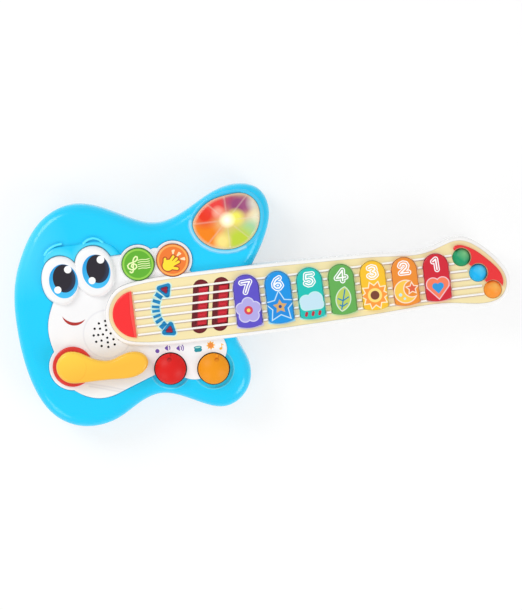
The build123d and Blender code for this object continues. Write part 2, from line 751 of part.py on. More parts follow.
def fretboard():
    plate = slab(outline(neck_points, -seat_gap), fret_seat, fret_top)
    plate += [rod(x, y, tray_top, fret_seat + 1.0, tray_boss_r) for x, y in tray_screw_points]
    cuts = [slab(key_face(n, slide_gap), 0, high_up) for n in range(1, key_count + 1)]
    for centre in slot_centres:
        cuts.append(slab(slanted_slot(centre, slot_width, slot_half_length), 0, high_up))
    cuts += bead_wells() + pin_grooves()
    for x, y in tray_screw_points:
        cuts.append(screw_hole(x, y, tray_top - 1.0, fret_seat))
    for x, y in bridge_peg_points:
        cuts.append(rod(x, y, 0, high_up, bridge_peg_r + seat_gap))
    return plate - cuts


def string_set():
    """Six ribs on the cream plate, broken where the keys stand and bridging the strum slots."""
    breaks = [slab(key_face(n, string_key_gap), 0, high_up) for n in range(1, key_count + 1)]
    breaks += bead_wells(string_bead_gap - slide_gap)
    ribs = []
    for index, end in enumerate(string_ends):
        y = string_pitch * (2.5 - index)
        face = Pos((string_start + end) / 2, y) * Rectangle(end - string_start, string_width)
        rib = slab(face, fret_top, fret_top + string_height)
        rib = fillet(rib.edges().filter_by(Axis.X).group_by(Axis.Z)[-1], string_width / 2 - 0.15)
        ribs += (rib - breaks).solids()
    return Compound(ribs)


def bridge_cap():
    disc = Pos(bridge_centre_x, 0) * Circle(bridge_radius)
    half = disc & Pos(bridge_flat_x - 50, 0) * Rectangle(100, 100)
    cap = rounded_top(slab(half, fret_top, fret_top + bridge_height), bridge_edge)
    return cap + [rod(x, y, body_depth + 0.5, fret_top + 0.5, bridge_peg_r) for x, y in bridge_peg_points]


def headstock_cap():
    ends = [crescent_points[-1], *reversed(bead_centres), crescent_points[0]]
    inner = [Line(*pair) for pair in zip(ends, ends[1:])]
    face = make_face(Wire([Spline(*crescent_points), *inner]))
    face -= [Pos(*centre) * Circle(bead_radius + cap_bead_gap) for centre in bead_centres]
    piece = max(face.faces(), key=lambda part: part.area)
    cap = slab(piece, fret_top, fret_top + crescent_height)
    outer_edge = max(cap.edges().group_by(Axis.Z)[-1], key=lambda edge: edge.length)
    return fillet(outer_edge, crescent_edge)


def bead(index):
    x, y = bead_centres[index]
    ball = Pos(x, y, bead_z) * Sphere(bead_radius)
    return ball - bead_axis(index, bead_pin_r + shaft_gap, bead_radius + 1.0)


def bead_pins():
    return Compound([bead_axis(i, bead_pin_r, bead_pin_reach).solid() for i in range(len(bead_centres))])


# ---------------------------------------------------------------- keys
def key(number):
    x = key_x(number)
    low, high = key_reach(number)
    bottom = fret_seat - flange_thickness
    cap = rounded_top(slab(key_face(number), bottom, key_top_z), key_edge)
    cap -= slab(key_face(number, -key_wall), bottom - 1.0, key_top_z - key_wall)
    half = key_width / 2
    reach = half + flange_reach
    flange = block(x - reach, x + reach, flange_low, flange_high, bottom, fret_seat)
    flange -= block(x - half + key_wall, x + half - key_wall, flange_low - 1, flange_high + 1, 0, high_up)
    roof = key_top_z - key_wall + 0.5
    stem = rod(x, 0, dome_top_z, roof, key_stem_r)
    spine = block(x - half + 1.0, x + half - 1.0, -key_spine / 2, key_spine / 2, bottom, roof)
    return cap + flange + stem + spine


def key_board():
    return block(key_board_start, key_board_end, -key_board_half, key_board_half, key_board_z, dome_sheet_z)


def key_domes():
    start, end = key_x(key_count) - dome_pad_half, key_x(1) + dome_pad_half
    pad = block(start, end, -dome_pad_half, dome_pad_half, dome_sheet_z, dome_sheet_z + dome_sheet)
    for number in range(1, key_count + 1):
        low = dome_sheet_z + dome_sheet - 0.2
        pad += Pos(key_x(number), 0, (low + dome_top_z) / 2) * Cone(dome_radius, dome_top_r, dome_top_z - low)
    return pad


# ---------------------------------------------------------------- strum bar
def strum_slider():
    left = slot_centres[0] - slot_width / 2 - strum_plate_margin
    right = slot_centres[1] + slot_width / 2 + strum_plate_margin
    slider = slab(bar_face(left, right, strum_plate_half), strum_z, strum_top)
    bar_top = fret_top - slide_gap
    for centre in slot_centres:
        middle = centre + strum_bar_shift
        half = strum_bar_width / 2
        bar = slab(bar_face(middle - half, middle + half, strum_bar_half), strum_top - 0.5, bar_top)
        slider += rounded_top(bar, 0.6)
        for row in range(-2, 3):
            y = row * string_pitch
            face = Rectangle(strum_bar_width - 2 * strum_bump_inset, strum_bump_width)
            bump = slab(Pos(slot_x(middle, y), y) * face, bar_top - 0.5, bar_top + strum_bump_height)
            slider += rounded_top(bump, strum_bump_height - 0.1)
    for x in (left + 4.5, right - 4.5):
        foot = Pos(x, 0) * Rectangle(strum_foot_width, 2 * strum_foot_half)
        slider += slab(foot, tray_top + lay_gap, strum_z + 0.5)
    return slider + rod(strum_mid_x, 0, tray_top + leaf_end_gap, strum_z + 0.5, strum_post_r)


def strum_tray():
    plate = block(*tray_ends, -tray_half_width, tray_half_width, tray_top - tray_floor, tray_top)
    for x in (strum_mid_x - leaf_half, strum_mid_x + leaf_half):
        for y in (-leaf_post_y, leaf_post_y):
            plate += rod(x, y, tray_top - 0.5, strum_z - leaf_end_gap, leaf_post_r)
    return plate - [screw_hole(x, y, 0, high_up) for x, y in tray_screw_points]


def strum_springs():
    """Two bowed leaf springs that bring the slider back to its middle."""
    left, right = strum_mid_x - leaf_half - 1, strum_mid_x + leaf_half + 1
    leaves = []
    for side in (-1, 1):
        arcs = []
        for shift in (0, side * leaf_thickness):
            end_y = side * (leaf_post_y - leaf_post_r - leaf_thickness) + shift
            middle_y = side * strum_post_r + shift
            arcs.append(ThreePointArc((left, end_y), (strum_mid_x, middle_y), (right, end_y)))
        inner, outer = arcs
        ends = [Line(inner @ 1, outer @ 1), Line(inner @ 0, outer @ 0)]
        face = make_face(Wire([inner, ends[0], outer, ends[1]]))
        leaves.append(slab(face, tray_top + leaf_end_gap, strum_z - leaf_end_gap).solid())
    return Compound(leaves)


# ---------------------------------------------------------------- buttons
def button(name):
    centre = button_centres[name]
    top = panel_top + button_proud
    bottom = ceiling_z - tab_thickness
    cap = rounded_top(rod(*centre, bottom, top, button_radius), button_edge)
    cap -= rod(*centre, bottom - 1.0, top - button_wall, button_radius - button_wall)
    for angle in button_tabs[name]:
        tab = Box(tab_reach + 2.0, tab_width, tab_thickness)
        reach = button_radius + (tab_reach - 2.0) / 2
        cap += Pos(*centre, bottom + tab_thickness / 2) * Rot(0, 0, angle) * Pos(reach, 0) * tab
    stem_low = button_board_top + dome_sheet + dome_height
    cap += rod(*centre, stem_low, top - button_wall + 0.5, button_stem_r)
    web = Box(2 * (button_radius - 1.0), button_web, button_web_height)
    for angle in (0, 90):
        cap += Pos(*centre, top - button_wall + 0.5 - button_web_height / 2) * Rot(0, 0, angle) * web
    return cap


def button_board():
    board = block(*button_board_span, button_board_top - board_thickness, button_board_top)
    return board - [screw_hole(x, y, 0, high_up) for x, y in button_post_points]


def button_domes():
    sheet_top = button_board_top + dome_sheet
    low, high = sheet_top - 0.2, sheet_top + dome_height
    domes = []
    for centre in button_centres.values():
        pad = rod(*centre, button_board_top, sheet_top, dome_pad_half)
        dome = Pos(*centre, (low + high) / 2) * Cone(dome_radius, dome_top_r, high - low)
        domes.append((pad + dome).solid())
    return Compound(domes)


# ---------------------------------------------------------------- knobs
def knob(name):
    """A domed knob with a hollow skirt, a shaft down into its switch and a pointer at the rim."""
    centre = knob_centres[name]
    low = well_z + knob_foot_gap
    shoulder = panel_top + knob_skirt
    top = panel_top + knob_proud
    rise = top - shoulder
    arc_mid_r = knob_radius * 0.55
    sphere_r = (knob_radius**2 + rise**2) / (2 * rise)
    arc_mid_z = top - sphere_r + (sphere_r**2 - arc_mid_r**2) ** 0.5
    profile = Wire([
        Line((0, 0, low), (knob_radius, 0, low)),
        Line((knob_radius, 0, low), (knob_radius, 0, shoulder)),
        ThreePointArc((knob_radius, 0, shoulder), (arc_mid_r, 0, arc_mid_z), (0, 0, top)),
        Line((0, 0, top), (0, 0, low)),
    ])
    body = revolve(make_face(profile), Axis.Z)
    body = fillet(body.edges().filter_by(lambda edge: edge.is_closed).group_by(Axis.Z)[-1], knob_edge)
    body -= rod(0, 0, low - 1.0, shoulder - 0.5, knob_radius - knob_wall)
    body += rod(0, 0, switch_z + switch_floor, shoulder, knob_shaft_r)
    end = knob_radius - 0.2
    heights = (shoulder - 1.0, shoulder + pointer_height)
    pointer = block(end - pointer_length, end, -pointer_half, pointer_half, *heights)
    body += Rot(0, 0, knob_pointer_deg[name]) * rounded_top(pointer, 0.6)
    dimple = polar((0, 0), knob_radius - dimple_inset, knob_pointer_deg[name])
    body -= Pos(*dimple, top + 0.2) * Sphere(dimple_r)
    return Pos(*centre) * body


def knob_switch(name):
    x, y = knob_centres[name]
    half = switch_size / 2
    body = block(x - half, x + half, y - half, y + half, switch_z, switch_z + switch_height)
    body = fillet(body.edges().filter_by(Axis.Z), 1.2)
    return body - rod(x, y, switch_z + switch_floor - 0.3, high_up, knob_shaft_r + shaft_gap)


def control_board():
    board = block(*control_board_span, control_board_z, switch_z)
    return board - [screw_hole(x, y, 0, high_up) for x, y in control_post_points]


# ---------------------------------------------------------------- whammy lever
def whammy_base_ring():
    ring = rounded_top(rod(*whammy_centre, panel_top, panel_top + whammy_ring_height, whammy_ring_r), 1.4)
    return ring - rod(*whammy_centre, 0, high_up, whammy_shaft_r + shaft_gap)


def whammy_lever():
    low = panel_top + whammy_ring_height + whammy_lift
    lever = rounded_top(slab(outline(lever_points), low, low + whammy_thickness), whammy_edge)
    lever += rod(*whammy_centre, clip_z + clip_thickness, low + 1.0, whammy_shaft_r)
    lever += rod(*whammy_centre, clip_z - 5.0, clip_z + clip_thickness + 1.0, whammy_tip_r)
    return lever


def whammy_clip():
    """Washer with an arm, pressed on the lever's shaft under the shell; its arm works the spring."""
    x, y = whammy_centre
    clip = rod(x, y, clip_z, clip_z + clip_thickness, clip_radius)
    arm = Rectangle(clip_arm_reach, 2 * clip_arm_half)
    clip += slab(Pos(x - clip_arm_reach / 2, y) * arm, clip_z, clip_z + clip_thickness)
    return clip - rod(x, y, 0, high_up, whammy_tip_r + clip_press)


def whammy_spring():
    """Torsion spring round the shaft, drawn as its sleeve with two legs."""
    x, y = whammy_centre
    high = clip_z - 0.2
    spring = rod(x, y, high - spring_height, high, spring_outer_r) - rod(x, y, 0, high_up, spring_inner_r)
    leg = Box(clip_arm_reach - spring_inner_r - 1.0, spring_leg, spring_leg)
    leg_x = x - (clip_arm_reach + spring_inner_r - 1.0) / 2
    for leg_y in (y - spring_leg_y, y + spring_leg_y):
        spring += Pos(leg_x, leg_y, high - spring_leg) * leg
    return spring


# ---------------------------------------------------------------- light
def light_lens():
    low = body_depth - lens_seat_depth
    dome = rounded_top(slab(outline(lens_points), low, low + lens_height), lens_round)
    hollow = slab(outline(lens_points, -lens_ledge - 0.4), low - 1.0, low + lens_height - lens_wall)
    return dome - rounded_top(hollow, lens_round - lens_wall)


def light_reflector():
    high = body_depth - lens_seat_depth - reflector_gap
    low = light_board_z + board_thickness
    cup = slab(outline(lens_points, -reflector_inset), low, high)
    cup -= slab(outline(lens_points, -reflector_inset - reflector_wall), low + reflector_wall, high + 1.0)
    cuts = [rod(x, y, 0, high_up, led_radius + 0.2) for x, y in led_points]
    cuts += [rod(x, y, 0, high_up, screw_head_r + 0.4) for x, y in light_post_points]
    return cup - cuts


def light_board():
    x, y = light_board_centre
    half_l, half_w = light_board_size[0] / 2, light_board_size[1] / 2
    edges = (x - half_l, x + half_l, y - half_w, y + half_w)
    board = block(*edges, light_board_z, light_board_z + board_thickness)
    return board - [screw_hole(px, py, 0, high_up) for px, py in light_post_points]


def light_leds():
    low = light_board_z + board_thickness
    high = low + led_height
    leds = [rounded_top(rod(x, y, low, high, led_radius), led_radius - 0.1) for x, y in led_points]
    return Compound([led.solid() for led in leds])


# ---------------------------------------------------------------- speaker
def speaker_frame():
    x, y = speaker_centre
    low, high = ceiling_z - speaker_depth, ceiling_z - speaker_flange
    basket = Cone(magnet_radius + 1.0, speaker_radius - 1.5, high - low)
    inside = Cone(magnet_radius - 0.2, speaker_radius - speaker_band, high - low)
    frame = Pos(x, y, (low + high) / 2) * (basket - inside)
    frame += rod(x, y, low, low + 1.0, magnet_radius + 1.0)
    frame += rod(x, y, high, ceiling_z, speaker_radius) - rod(x, y, 0, high_up, speaker_radius - speaker_band)
    tab_y = y + speaker_radius - speaker_band + speaker_tab[1] / 2
    frame += Pos(x, tab_y, ceiling_z - 0.5 - speaker_tab[2] / 2) * Box(*speaker_tab)
    return frame - [rod(px, py, 0, high_up, boss_r + seat_gap) for px, py in speaker_screw_spots()]


def speaker_cone():
    x, y = speaker_centre
    low, high = ceiling_z - speaker_depth + 1.0, ceiling_z - cone_wall
    rim_r = speaker_radius - speaker_band - 0.5
    middle = (low + high) / 2
    cone = Pos(x, y, middle) * Cone(cone_throat_r, rim_r, high - low)
    cone -= Pos(x, y, middle + 0.6) * Cone(cone_throat_r - cone_wall, rim_r - cone_wall, high - low)
    return cone + Pos(x, y, low + 3.0) * Sphere(dust_cap_r) & rod(x, y, low, high, speaker_radius)


def speaker_magnet():
    top = ceiling_z - speaker_depth
    magnet = rod(*speaker_centre, top - magnet_height, top, magnet_radius)
    return fillet(magnet.edges().group_by(Axis.Z)[0], 0.8)


# ---------------------------------------------------------------- boards
def main_board():
    face = Pos(*main_board_centre) * Rectangle(*main_board_size)
    board = slab(face, main_board_z, main_board_z + board_thickness)
    return board - [screw_hole(px, py, 0, high_up) for px, py in main_post_points]


def main_board_parts():
    """Chip under its drop of resin, two capacitors and the ribbon's socket."""
    x, y = main_board_centre
    z = main_board_z + board_thickness
    chip = rounded_top(rod(x - 6, y + 4, z, z + 2.2, 7.0), 2.0)
    caps = [rod(x + 10, y + dy, z, z + 8.0, 3.2) for dy in (6.0, 14.0)]
    socket = block(*socket_x, ribbon_y - socket_half, ribbon_y + socket_half, z, z + socket_height)
    return Compound([piece.solid() for piece in [chip, *caps, socket]])


def key_ribbon():
    """Flat cable from the key board, over the battery tub, down to the main board."""
    plug_x = socket_x[1]
    high = dome_sheet_z + ribbon_thickness / 2
    low = main_board_z + board_thickness + socket_height / 2
    mid = tub_height + 3.5
    path = FilletPolyline(
        (key_board_start + 3.0, 0, high), (key_board_start - 8.0, 0, high), (key_board_start - 22.0, 0, mid),
        (plug_x + 16.0, 0, mid), (plug_x + 5.0, 0, low), (plug_x, 0, low), radius=3.0,
    )
    path = Pos(0, ribbon_y, 0) * path
    start = Plane(origin=path @ 0, x_dir=(0, 1, 0), z_dir=path % 0)
    return sweep(start * Rectangle(ribbon_width, ribbon_thickness), path=path)


def wiring_harness():
    """Round leads between the boards, the battery contacts and the speaker."""
    board_z = main_board_z + board_thickness
    edge = main_board_centre[0] + main_board_size[0] / 2
    tub_x = tub_centre[0] - tub_length / 2
    leads = []
    for row in lead_rows:
        end = (edge - 5.0, row + 10.0)
        leads.append([(tub_x, row, lead_z), (tub_x - 8, row, lead_z), (*end, board_z + 6.0), (*end, board_z)])
    sx, sy = speaker_centre
    solder_y = sy + speaker_radius - speaker_band + speaker_tab[1] / 2
    tab_low = ceiling_z - 0.5 - speaker_tab[2]
    for x in (sx - 2.0, sx + 2.0):
        end = (x - 4.0, solder_y + 14.0)
        drop = [(x, solder_y, tab_low), (x, solder_y, tab_low - 5.0)]
        leads.append([*drop, (*end, board_z + 6.0), (*end, board_z)])
    for shift in (0.0, 2.4):
        end = (edge - 4.0, main_board_centre[1] + 8.0 + shift)
        leads.append([
            (29.0, 64.0 + shift, light_board_z), (29.0, 64.0 + shift, light_board_z - 5.0),
            (12.0, 50.0 + shift, light_board_z - 10.0), (-38.0, 44.0 + shift, light_board_z - 9.0),
            (*end, board_z + 5.0), (*end, board_z),
        ])
    return Compound([tube_along(points, lead_bend, wire_r).solid() for points in leads])


# ---------------------------------------------------------------- battery
def battery_cells():
    x, y = tub_centre
    cells = []
    for index in range(cell_count):
        row = y + (index - (cell_count - 1) / 2) * cell_pitch
        way = 1 if index % 2 else -1
        cell = Pos(x - way * cell_nub / 2, row, cell_z) * Rot(0, 90, 0) * Cylinder(cell_radius, cell_length)
        nub = Pos(x + way * cell_length / 2, row, cell_z) * Rot(0, 90, 0) * Cylinder(cell_nub_r, cell_nub)
        cells.append((cell + nub).solid())
    return Compound(cells)


def battery_contacts():
    x, y = tub_centre
    plates = []
    for index in range(cell_count):
        row = y + (index - (cell_count - 1) / 2) * cell_pitch
        for side in (-1, 1):
            end = x + side * tub_length / 2
            sheet = Box(contact_plate, 2 * contact_half, 2 * contact_half)
            plate = Pos(end - side * contact_plate / 2, row, cell_z) * sheet
            at_spring = side * (1 if index % 2 else -1) < 0
            stud = Cylinder(contact_spring_r if at_spring else contact_stud_r, tub_end_room)
            plate += Pos(end - side * tub_end_room / 2, row, cell_z) * Rot(0, 90, 0) * stud
            plates.append(plate.solid())
    return Compound(plates)


def battery_door():
    x, y = tub_centre
    face = Pos(x, y) * RectangleRounded(door_length, door_width, door_corner)
    cuts = []
    for dx in grip_grooves:
        groove = Pos(x + dx, y) * Rectangle(2 * grip_half_width, 2 * grip_half_length)
        cuts.append(slab(groove, 0, door_inset + grip_depth))
    for px, py in door_screw_points:
        cuts.append(rod(px, py, 0, door_inset + 1.0, screw_head_r + 0.2))
        cuts.append(screw_hole(px, py, 0, high_up))
    return slab(face, door_inset, door_inset + door_thickness) - cuts


def door_screws():
    screws = []
    for x, y in door_screw_points:
        head = rod(x, y, door_inset + 0.1, door_inset + 1.0, screw_head_r)
        screws.append((head + rod(x, y, door_inset + 0.9, door_post_z - 2.5, screw_r)).solid())
    return Compound(screws)


# ---------------------------------------------------------------- screws
def body_screws():
    return Compound([screw(x, y, counterbore_roof, split_height + 7.0).solid() for x, y in body_screw_points])


def neck_screws():
    screws = [screw(x, y, neck_counterbore, neck_split_z + 6.0) for x, y in neck_screw_spots()]
    screws += [screw(x, y, heel_counterbore, heel_post_z - 2.5) for x, y in heel_screw_points]
    screws += [screw(x, y, ceiling_z, fret_seat - 0.3) for x, y in pad_screw_points]
    return Compound([piece.solid() for piece in screws])


def board_screws():
    screws = [screw(x, y, main_board_z + board_thickness, main_board_z - 5.5) for x, y in main_post_points]
    button_low = button_board_top - board_thickness
    screws += [screw(x, y, button_low, button_low + board_screw_bite) for x, y in button_post_points]
    control_tip = control_board_z + board_screw_bite
    screws += [screw(x, y, control_board_z, control_tip) for x, y in control_post_points]
    light_top = light_board_z + board_thickness
    screws += [screw(x, y, light_top, light_top - board_screw_bite) for x, y in light_post_points]
    screws += [screw(x, y, tray_top - tray_floor, fret_seat - 0.5) for x, y in tray_screw_points]
    return Compound([piece.solid() for piece in screws])


def speaker_screws():
    """Wide-head screws whose heads clamp the speaker's flange."""
    screws = []
    flange_low = ceiling_z - speaker_flange
    for x, y in speaker_screw_spots():
        head = rod(x, y, flange_low - clamp_head, flange_low, clamp_head_r)
        screws.append((head + rod(x, y, flange_low - 0.5, ceiling_z - 0.6, screw_r)).solid())
    return Compound(screws)


# ---------------------------------------------------------------- all pieces
pieces = {
    "body_front_shell": body_front_shell,
    "body_back_shell": body_back_shell,
    "face_panel": face_panel,
    "neck_front_housing": neck_front_housing,
    "neck_back_housing": neck_back_housing,
    "fretboard": fretboard,
    "string_set": string_set,
    "bridge_cap": bridge_cap,
    "headstock_cap": headstock_cap,
    "bead_pins": bead_pins,
    "key_board": key_board,
    "key_domes": key_domes,
    "strum_slider": strum_slider,
    "strum_tray": strum_tray,
    "strum_springs": strum_springs,
    "button_board": button_board,
    "button_domes": button_domes,
    "control_board": control_board,
    "whammy_base_ring": whammy_base_ring,
    "whammy_lever": whammy_lever,
    "whammy_clip": whammy_clip,
    "whammy_spring": whammy_spring,
    "light_lens": light_lens,
    "light_reflector": light_reflector,
    "light_board": light_board,
    "light_leds": light_leds,
    "speaker_frame": speaker_frame,
    "speaker_cone": speaker_cone,
    "speaker_magnet": speaker_magnet,
    "speaker_screws": speaker_screws,
    "main_board": main_board,
    "main_board_parts": main_board_parts,
    "key_ribbon": key_ribbon,
    "wiring_harness": wiring_harness,
    "battery_cells": battery_cells,
    "battery_contacts": battery_contacts,
    "battery_door": battery_door,
    "door_screws": door_screws,
    "body_screws": body_screws,
    "neck_screws": neck_screws,
    "board_screws": board_screws,
}
for number in range(1, key_count + 1):
    pieces[f"key_{number}"] = lambda number=number: key(number)
for index, name in enumerate(bead_names):
    pieces[name] = lambda index=index: bead(index)
for name in button_centres:
    pieces[name] = lambda name=name: button(name)
for name in knob_centres:
    pieces[name] = lambda name=name: knob(name)
    pieces[name.replace("knob", "switch")] = lambda name=name: knob_switch(name)


def footprint_middle():
    ends = [outline(body_points).bounding_box(), neck_outer.bounding_box()]
    low = [min(box.min.X for box in ends), min(box.min.Y for box in ends)]
    high = [max(box.max.X for box in ends), max(box.max.Y for box in ends)]
    return (low[0] + high[0]) / 2, (low[1] + high[1]) / 2


middle_x, middle_y = footprint_middle()
os.makedirs("parts", exist_ok=True)
for name, make in pieces.items():
    solid = Pos(-middle_x, -middle_y, 0) * make()
    export_step(solid, f"parts/{name}.step")
print(f"{len(pieces)} pieces, origin at x {middle_x:.3f}, y {middle_y:.3f} of the drawing")
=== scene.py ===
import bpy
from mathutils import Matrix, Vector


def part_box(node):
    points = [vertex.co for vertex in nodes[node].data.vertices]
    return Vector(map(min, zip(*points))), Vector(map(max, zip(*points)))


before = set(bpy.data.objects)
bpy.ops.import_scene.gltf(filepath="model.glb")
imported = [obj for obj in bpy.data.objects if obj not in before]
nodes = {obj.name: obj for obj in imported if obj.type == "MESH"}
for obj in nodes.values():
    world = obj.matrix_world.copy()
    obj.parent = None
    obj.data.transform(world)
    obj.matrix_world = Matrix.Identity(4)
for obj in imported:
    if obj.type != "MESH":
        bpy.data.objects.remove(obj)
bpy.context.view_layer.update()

from math import atan2, cos, pi, radians, sin

import bpy
from mathutils import Matrix, Vector

print("frame loaded with", len(nodes), "nodes")


def middleOf(name):
    low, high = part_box(name)
    return [(low[axis] + high[axis]) / 2 for axis in range(3)]


# Prints and the camera's aim are laid out in millimetres, x along the neck and y across it.
# Key 1 stands at x 213.5 of that drawing and the blue bead at y 0.5.
drawing = {"key1X": 213.5, "blueBeadY": 0.5, "perMetre": 1000}
offsetX = drawing["key1X"] - middleOf("key_1")[0] * drawing["perMetre"]
offsetY = drawing["blueBeadY"] - middleOf("bead_blue")[1] * drawing["perMetre"]


def place(x, y, z):
    return Vector((x - offsetX, y - offsetY, z)) / drawing["perMetre"]


def keyX(number):
    return middleOf(f"key_{number}")[0] * drawing["perMetre"] + offsetX


# Colours are written from 0 to 255, as a screen shows them; the nodes take them as linear light.
def colour(red, green, blue):
    linear = []
    for value in (red, green, blue):
        share = value / 255
        linear.append(share / 12.92 if share <= 0.04045 else ((share + 0.055) / 1.055) ** 2.4)
    return (*linear, 1.0)


white = (255, 255, 255)


# Wraps a socket, so that an expression adds the nodes it needs: | keeps the lesser value and & the greater.
class Wire:
    def __init__(self, tree, socket=None):
        self.tree = tree
        self.socket = socket

    def node(self, kind, settings=None, sockets=None, output=0):
        made = self.tree.nodes.new(kind)
        for name, value in (settings or {}).items():
            setattr(made, name, value)
        for key, value in (sockets or {}).items():
            if isinstance(value, Wire):
                self.tree.links.new(value.socket, made.inputs[key])
            else:
                made.inputs[key].default_value = value
        return Wire(self.tree, made.outputs[output] if len(made.outputs) else None)

    def maths(self, operation, *values, clamp=False):
        settings = {"operation": operation, "use_clamp": clamp}
        return self.node("ShaderNodeMath", settings, dict(enumerate(values)))

    def vector(self, operation, *values, output=0):
        settings = {"operation": operation}
        return self.node("ShaderNodeVectorMath", settings, dict(enumerate(values)), output)

    def __add__(self, other):
        return self.maths("ADD", self, other)

    def __sub__(self, other):
        return self.maths("SUBTRACT", self, other)

    def __rsub__(self, other):
        return self.maths("SUBTRACT", other, self)

    def __mul__(self, other):
        return self.maths("MULTIPLY", self, other)

    def __or__(self, other):
        return self.maths("MINIMUM", self, other)

    def __and__(self, other):
        return self.maths("MAXIMUM", self, other)

    def __abs__(self):
        return self.maths("ABSOLUTE", self)

    __radd__, __rmul__, __ror__, __rand__ = __add__, __mul__, __or__, __and__


def clamped(value, factor):
    return value.maths("MULTIPLY", value, factor, clamp=True)


def axisOf(point, axis):
    return point.node("ShaderNodeSeparateXYZ", None, {0: point}, axis)


# Shapes of the prints: each gives the distance to its edge in millimetres, below zero inside.
def disc(point, x, y, radius):
    return point.vector("DISTANCE", point, (x, y, 0), output=1) - radius


def ring(point, x, y, radius, half):
    return abs(disc(point, x, y, radius)) - half


def oval(point, x, y, halfWidth, halfHeight, lean=0.0):
    moved = point.vector("SUBTRACT", point, (x, y, 0))
    if lean:
        turned = {"Vector": moved, "Angle": -radians(lean)}
        moved = point.node("ShaderNodeVectorRotate", {"rotation_type": "Z_AXIS"}, turned)
    scaled = point.vector("MULTIPLY", moved, (1 / halfWidth, 1 / halfHeight, 0))
    return (point.vector("LENGTH", scaled, output=1) - 1) * min(halfWidth, halfHeight)


def joined(shapes):
    whole = None
    for shape in shapes:
        whole = shape if whole is None else whole | shape
    return whole


def stroke(point, points, radius):
    gaps = []
    for (x0, y0), (x1, y1) in zip(points, points[1:]):
        run = (x1 - x0, y1 - y0, 0)
        moved = point.vector("SUBTRACT", point, (x0, y0, 0))
        along = point.vector("DOT_PRODUCT", moved, run, output=1)
        share = clamped(along, 1 / (run[0] ** 2 + run[1] ** 2))
        foot = point.node("ShaderNodeVectorMath", {"operation": "SCALE"}, {0: run, 3: share})
        gaps.append(point.vector("DISTANCE", moved, foot, output=1))
    return joined(gaps) - radius


# Folds the plane about a point into half of one of its equal wedges; whole wedges are added to the angle
# so that it stays above zero.
def folded(point, x, y, count, turn=0.0):
    moved = point.vector("SUBTRACT", point, (x, y, 0))
    angle = point.maths("ARCTAN2", axisOf(moved, 1), axisOf(moved, 0)) + (turn + 8 * pi / count)
    wedge = point.maths("PINGPONG", angle, pi / count)
    reach = point.vector("LENGTH", moved, output=1)
    parts = {0: reach * point.maths("COSINE", wedge), 1: reach * point.maths("SINE", wedge)}
    return point.node("ShaderNodeCombineXYZ", None, parts)


def halfPlane(point, x, y, angle):
    normal = (cos(angle), sin(angle), 0)
    return point.vector("DOT_PRODUCT", point, normal, output=1) - (x * normal[0] + y * normal[1])


def star(point, x, y, outer, inner, count=5, turn=-90):
    wedge = folded(point, x, y, count, radians(turn))
    tip, notch = (outer, 0.0), (inner * cos(pi / count), inner * sin(pi / count))
    return halfPlane(wedge, *tip, atan2(tip[0] - notch[0], notch[1] - tip[1]))


def heart(point, x, y, size):
    lobes = [disc(point, x + side * size * 0.44, y + size * 0.34, size * 0.56) for side in (-1, 1)]
    sides = halfPlane(point, x, y - size, radians(-138.4)) & halfPlane(point, x, y - size, radians(-41.6))
    return joined(lobes) | (sides & halfPlane(point, x, y, radians(90)))


def middleOfCorners(corners):
    return [sum(corner[axis] for corner in corners) / len(corners) for axis in range(2)]


def triangle(point, corners, rounding):
    middle = middleOfCorners(corners)
    sides = None
    for (x0, y0), (x1, y1) in zip(corners, corners[1:] + corners[:1]):
        angle = atan2(y1 - y0, x1 - x0) + pi / 2
        if (middle[0] - x0) * cos(angle) + (middle[1] - y0) * sin(angle) > 0:
            angle += pi
        side = halfPlane(point, x0, y0, angle)
        sides = side if sides is None else sides & side
    return sides | stroke(point, corners + corners[:1], rounding)


crispEdge = 0.12  # how soft the sharpest printed edge is, in millimetres


def inside(distance, soft=crispEdge):
    return distance.maths("MULTIPLY_ADD", distance, -1 / soft, 0.5, clamp=True)


def mixed(base, mask, shade):
    sockets = {0: mask, 6: base, 7: shade}
    return mask.node("ShaderNodeMix", {"data_type": "RGBA"}, sockets, 2)


# An ink is a colour, how soft its edge is in millimetres and how much of it covers what lies below.
def inked(tint, distance, shade, soft=crispEdge, cover=1.0):
    mask = inside(distance, soft)
    return mixed(tint, mask * cover if cover < 1 else mask, colour(*shade))


# Every moulded piece shares this finish: faint flow in the colour, a satin ripple and fine pores.
mouldedFinish = {
    "flow": {"Scale": 18.0, "Detail": 3.0}, "flowDepth": 0.07,
    "ripple": {"Scale": 160.0, "Detail": 2.0}, "rippleDepth": 0.00002, "rippleRoughness": 0.06,
    "pores": {"Scale": 2600.0, "Detail": 1.0}, "poreDepth": 0.000012,
    "specular": 0.3, "metalSpecular": 0.2,
}


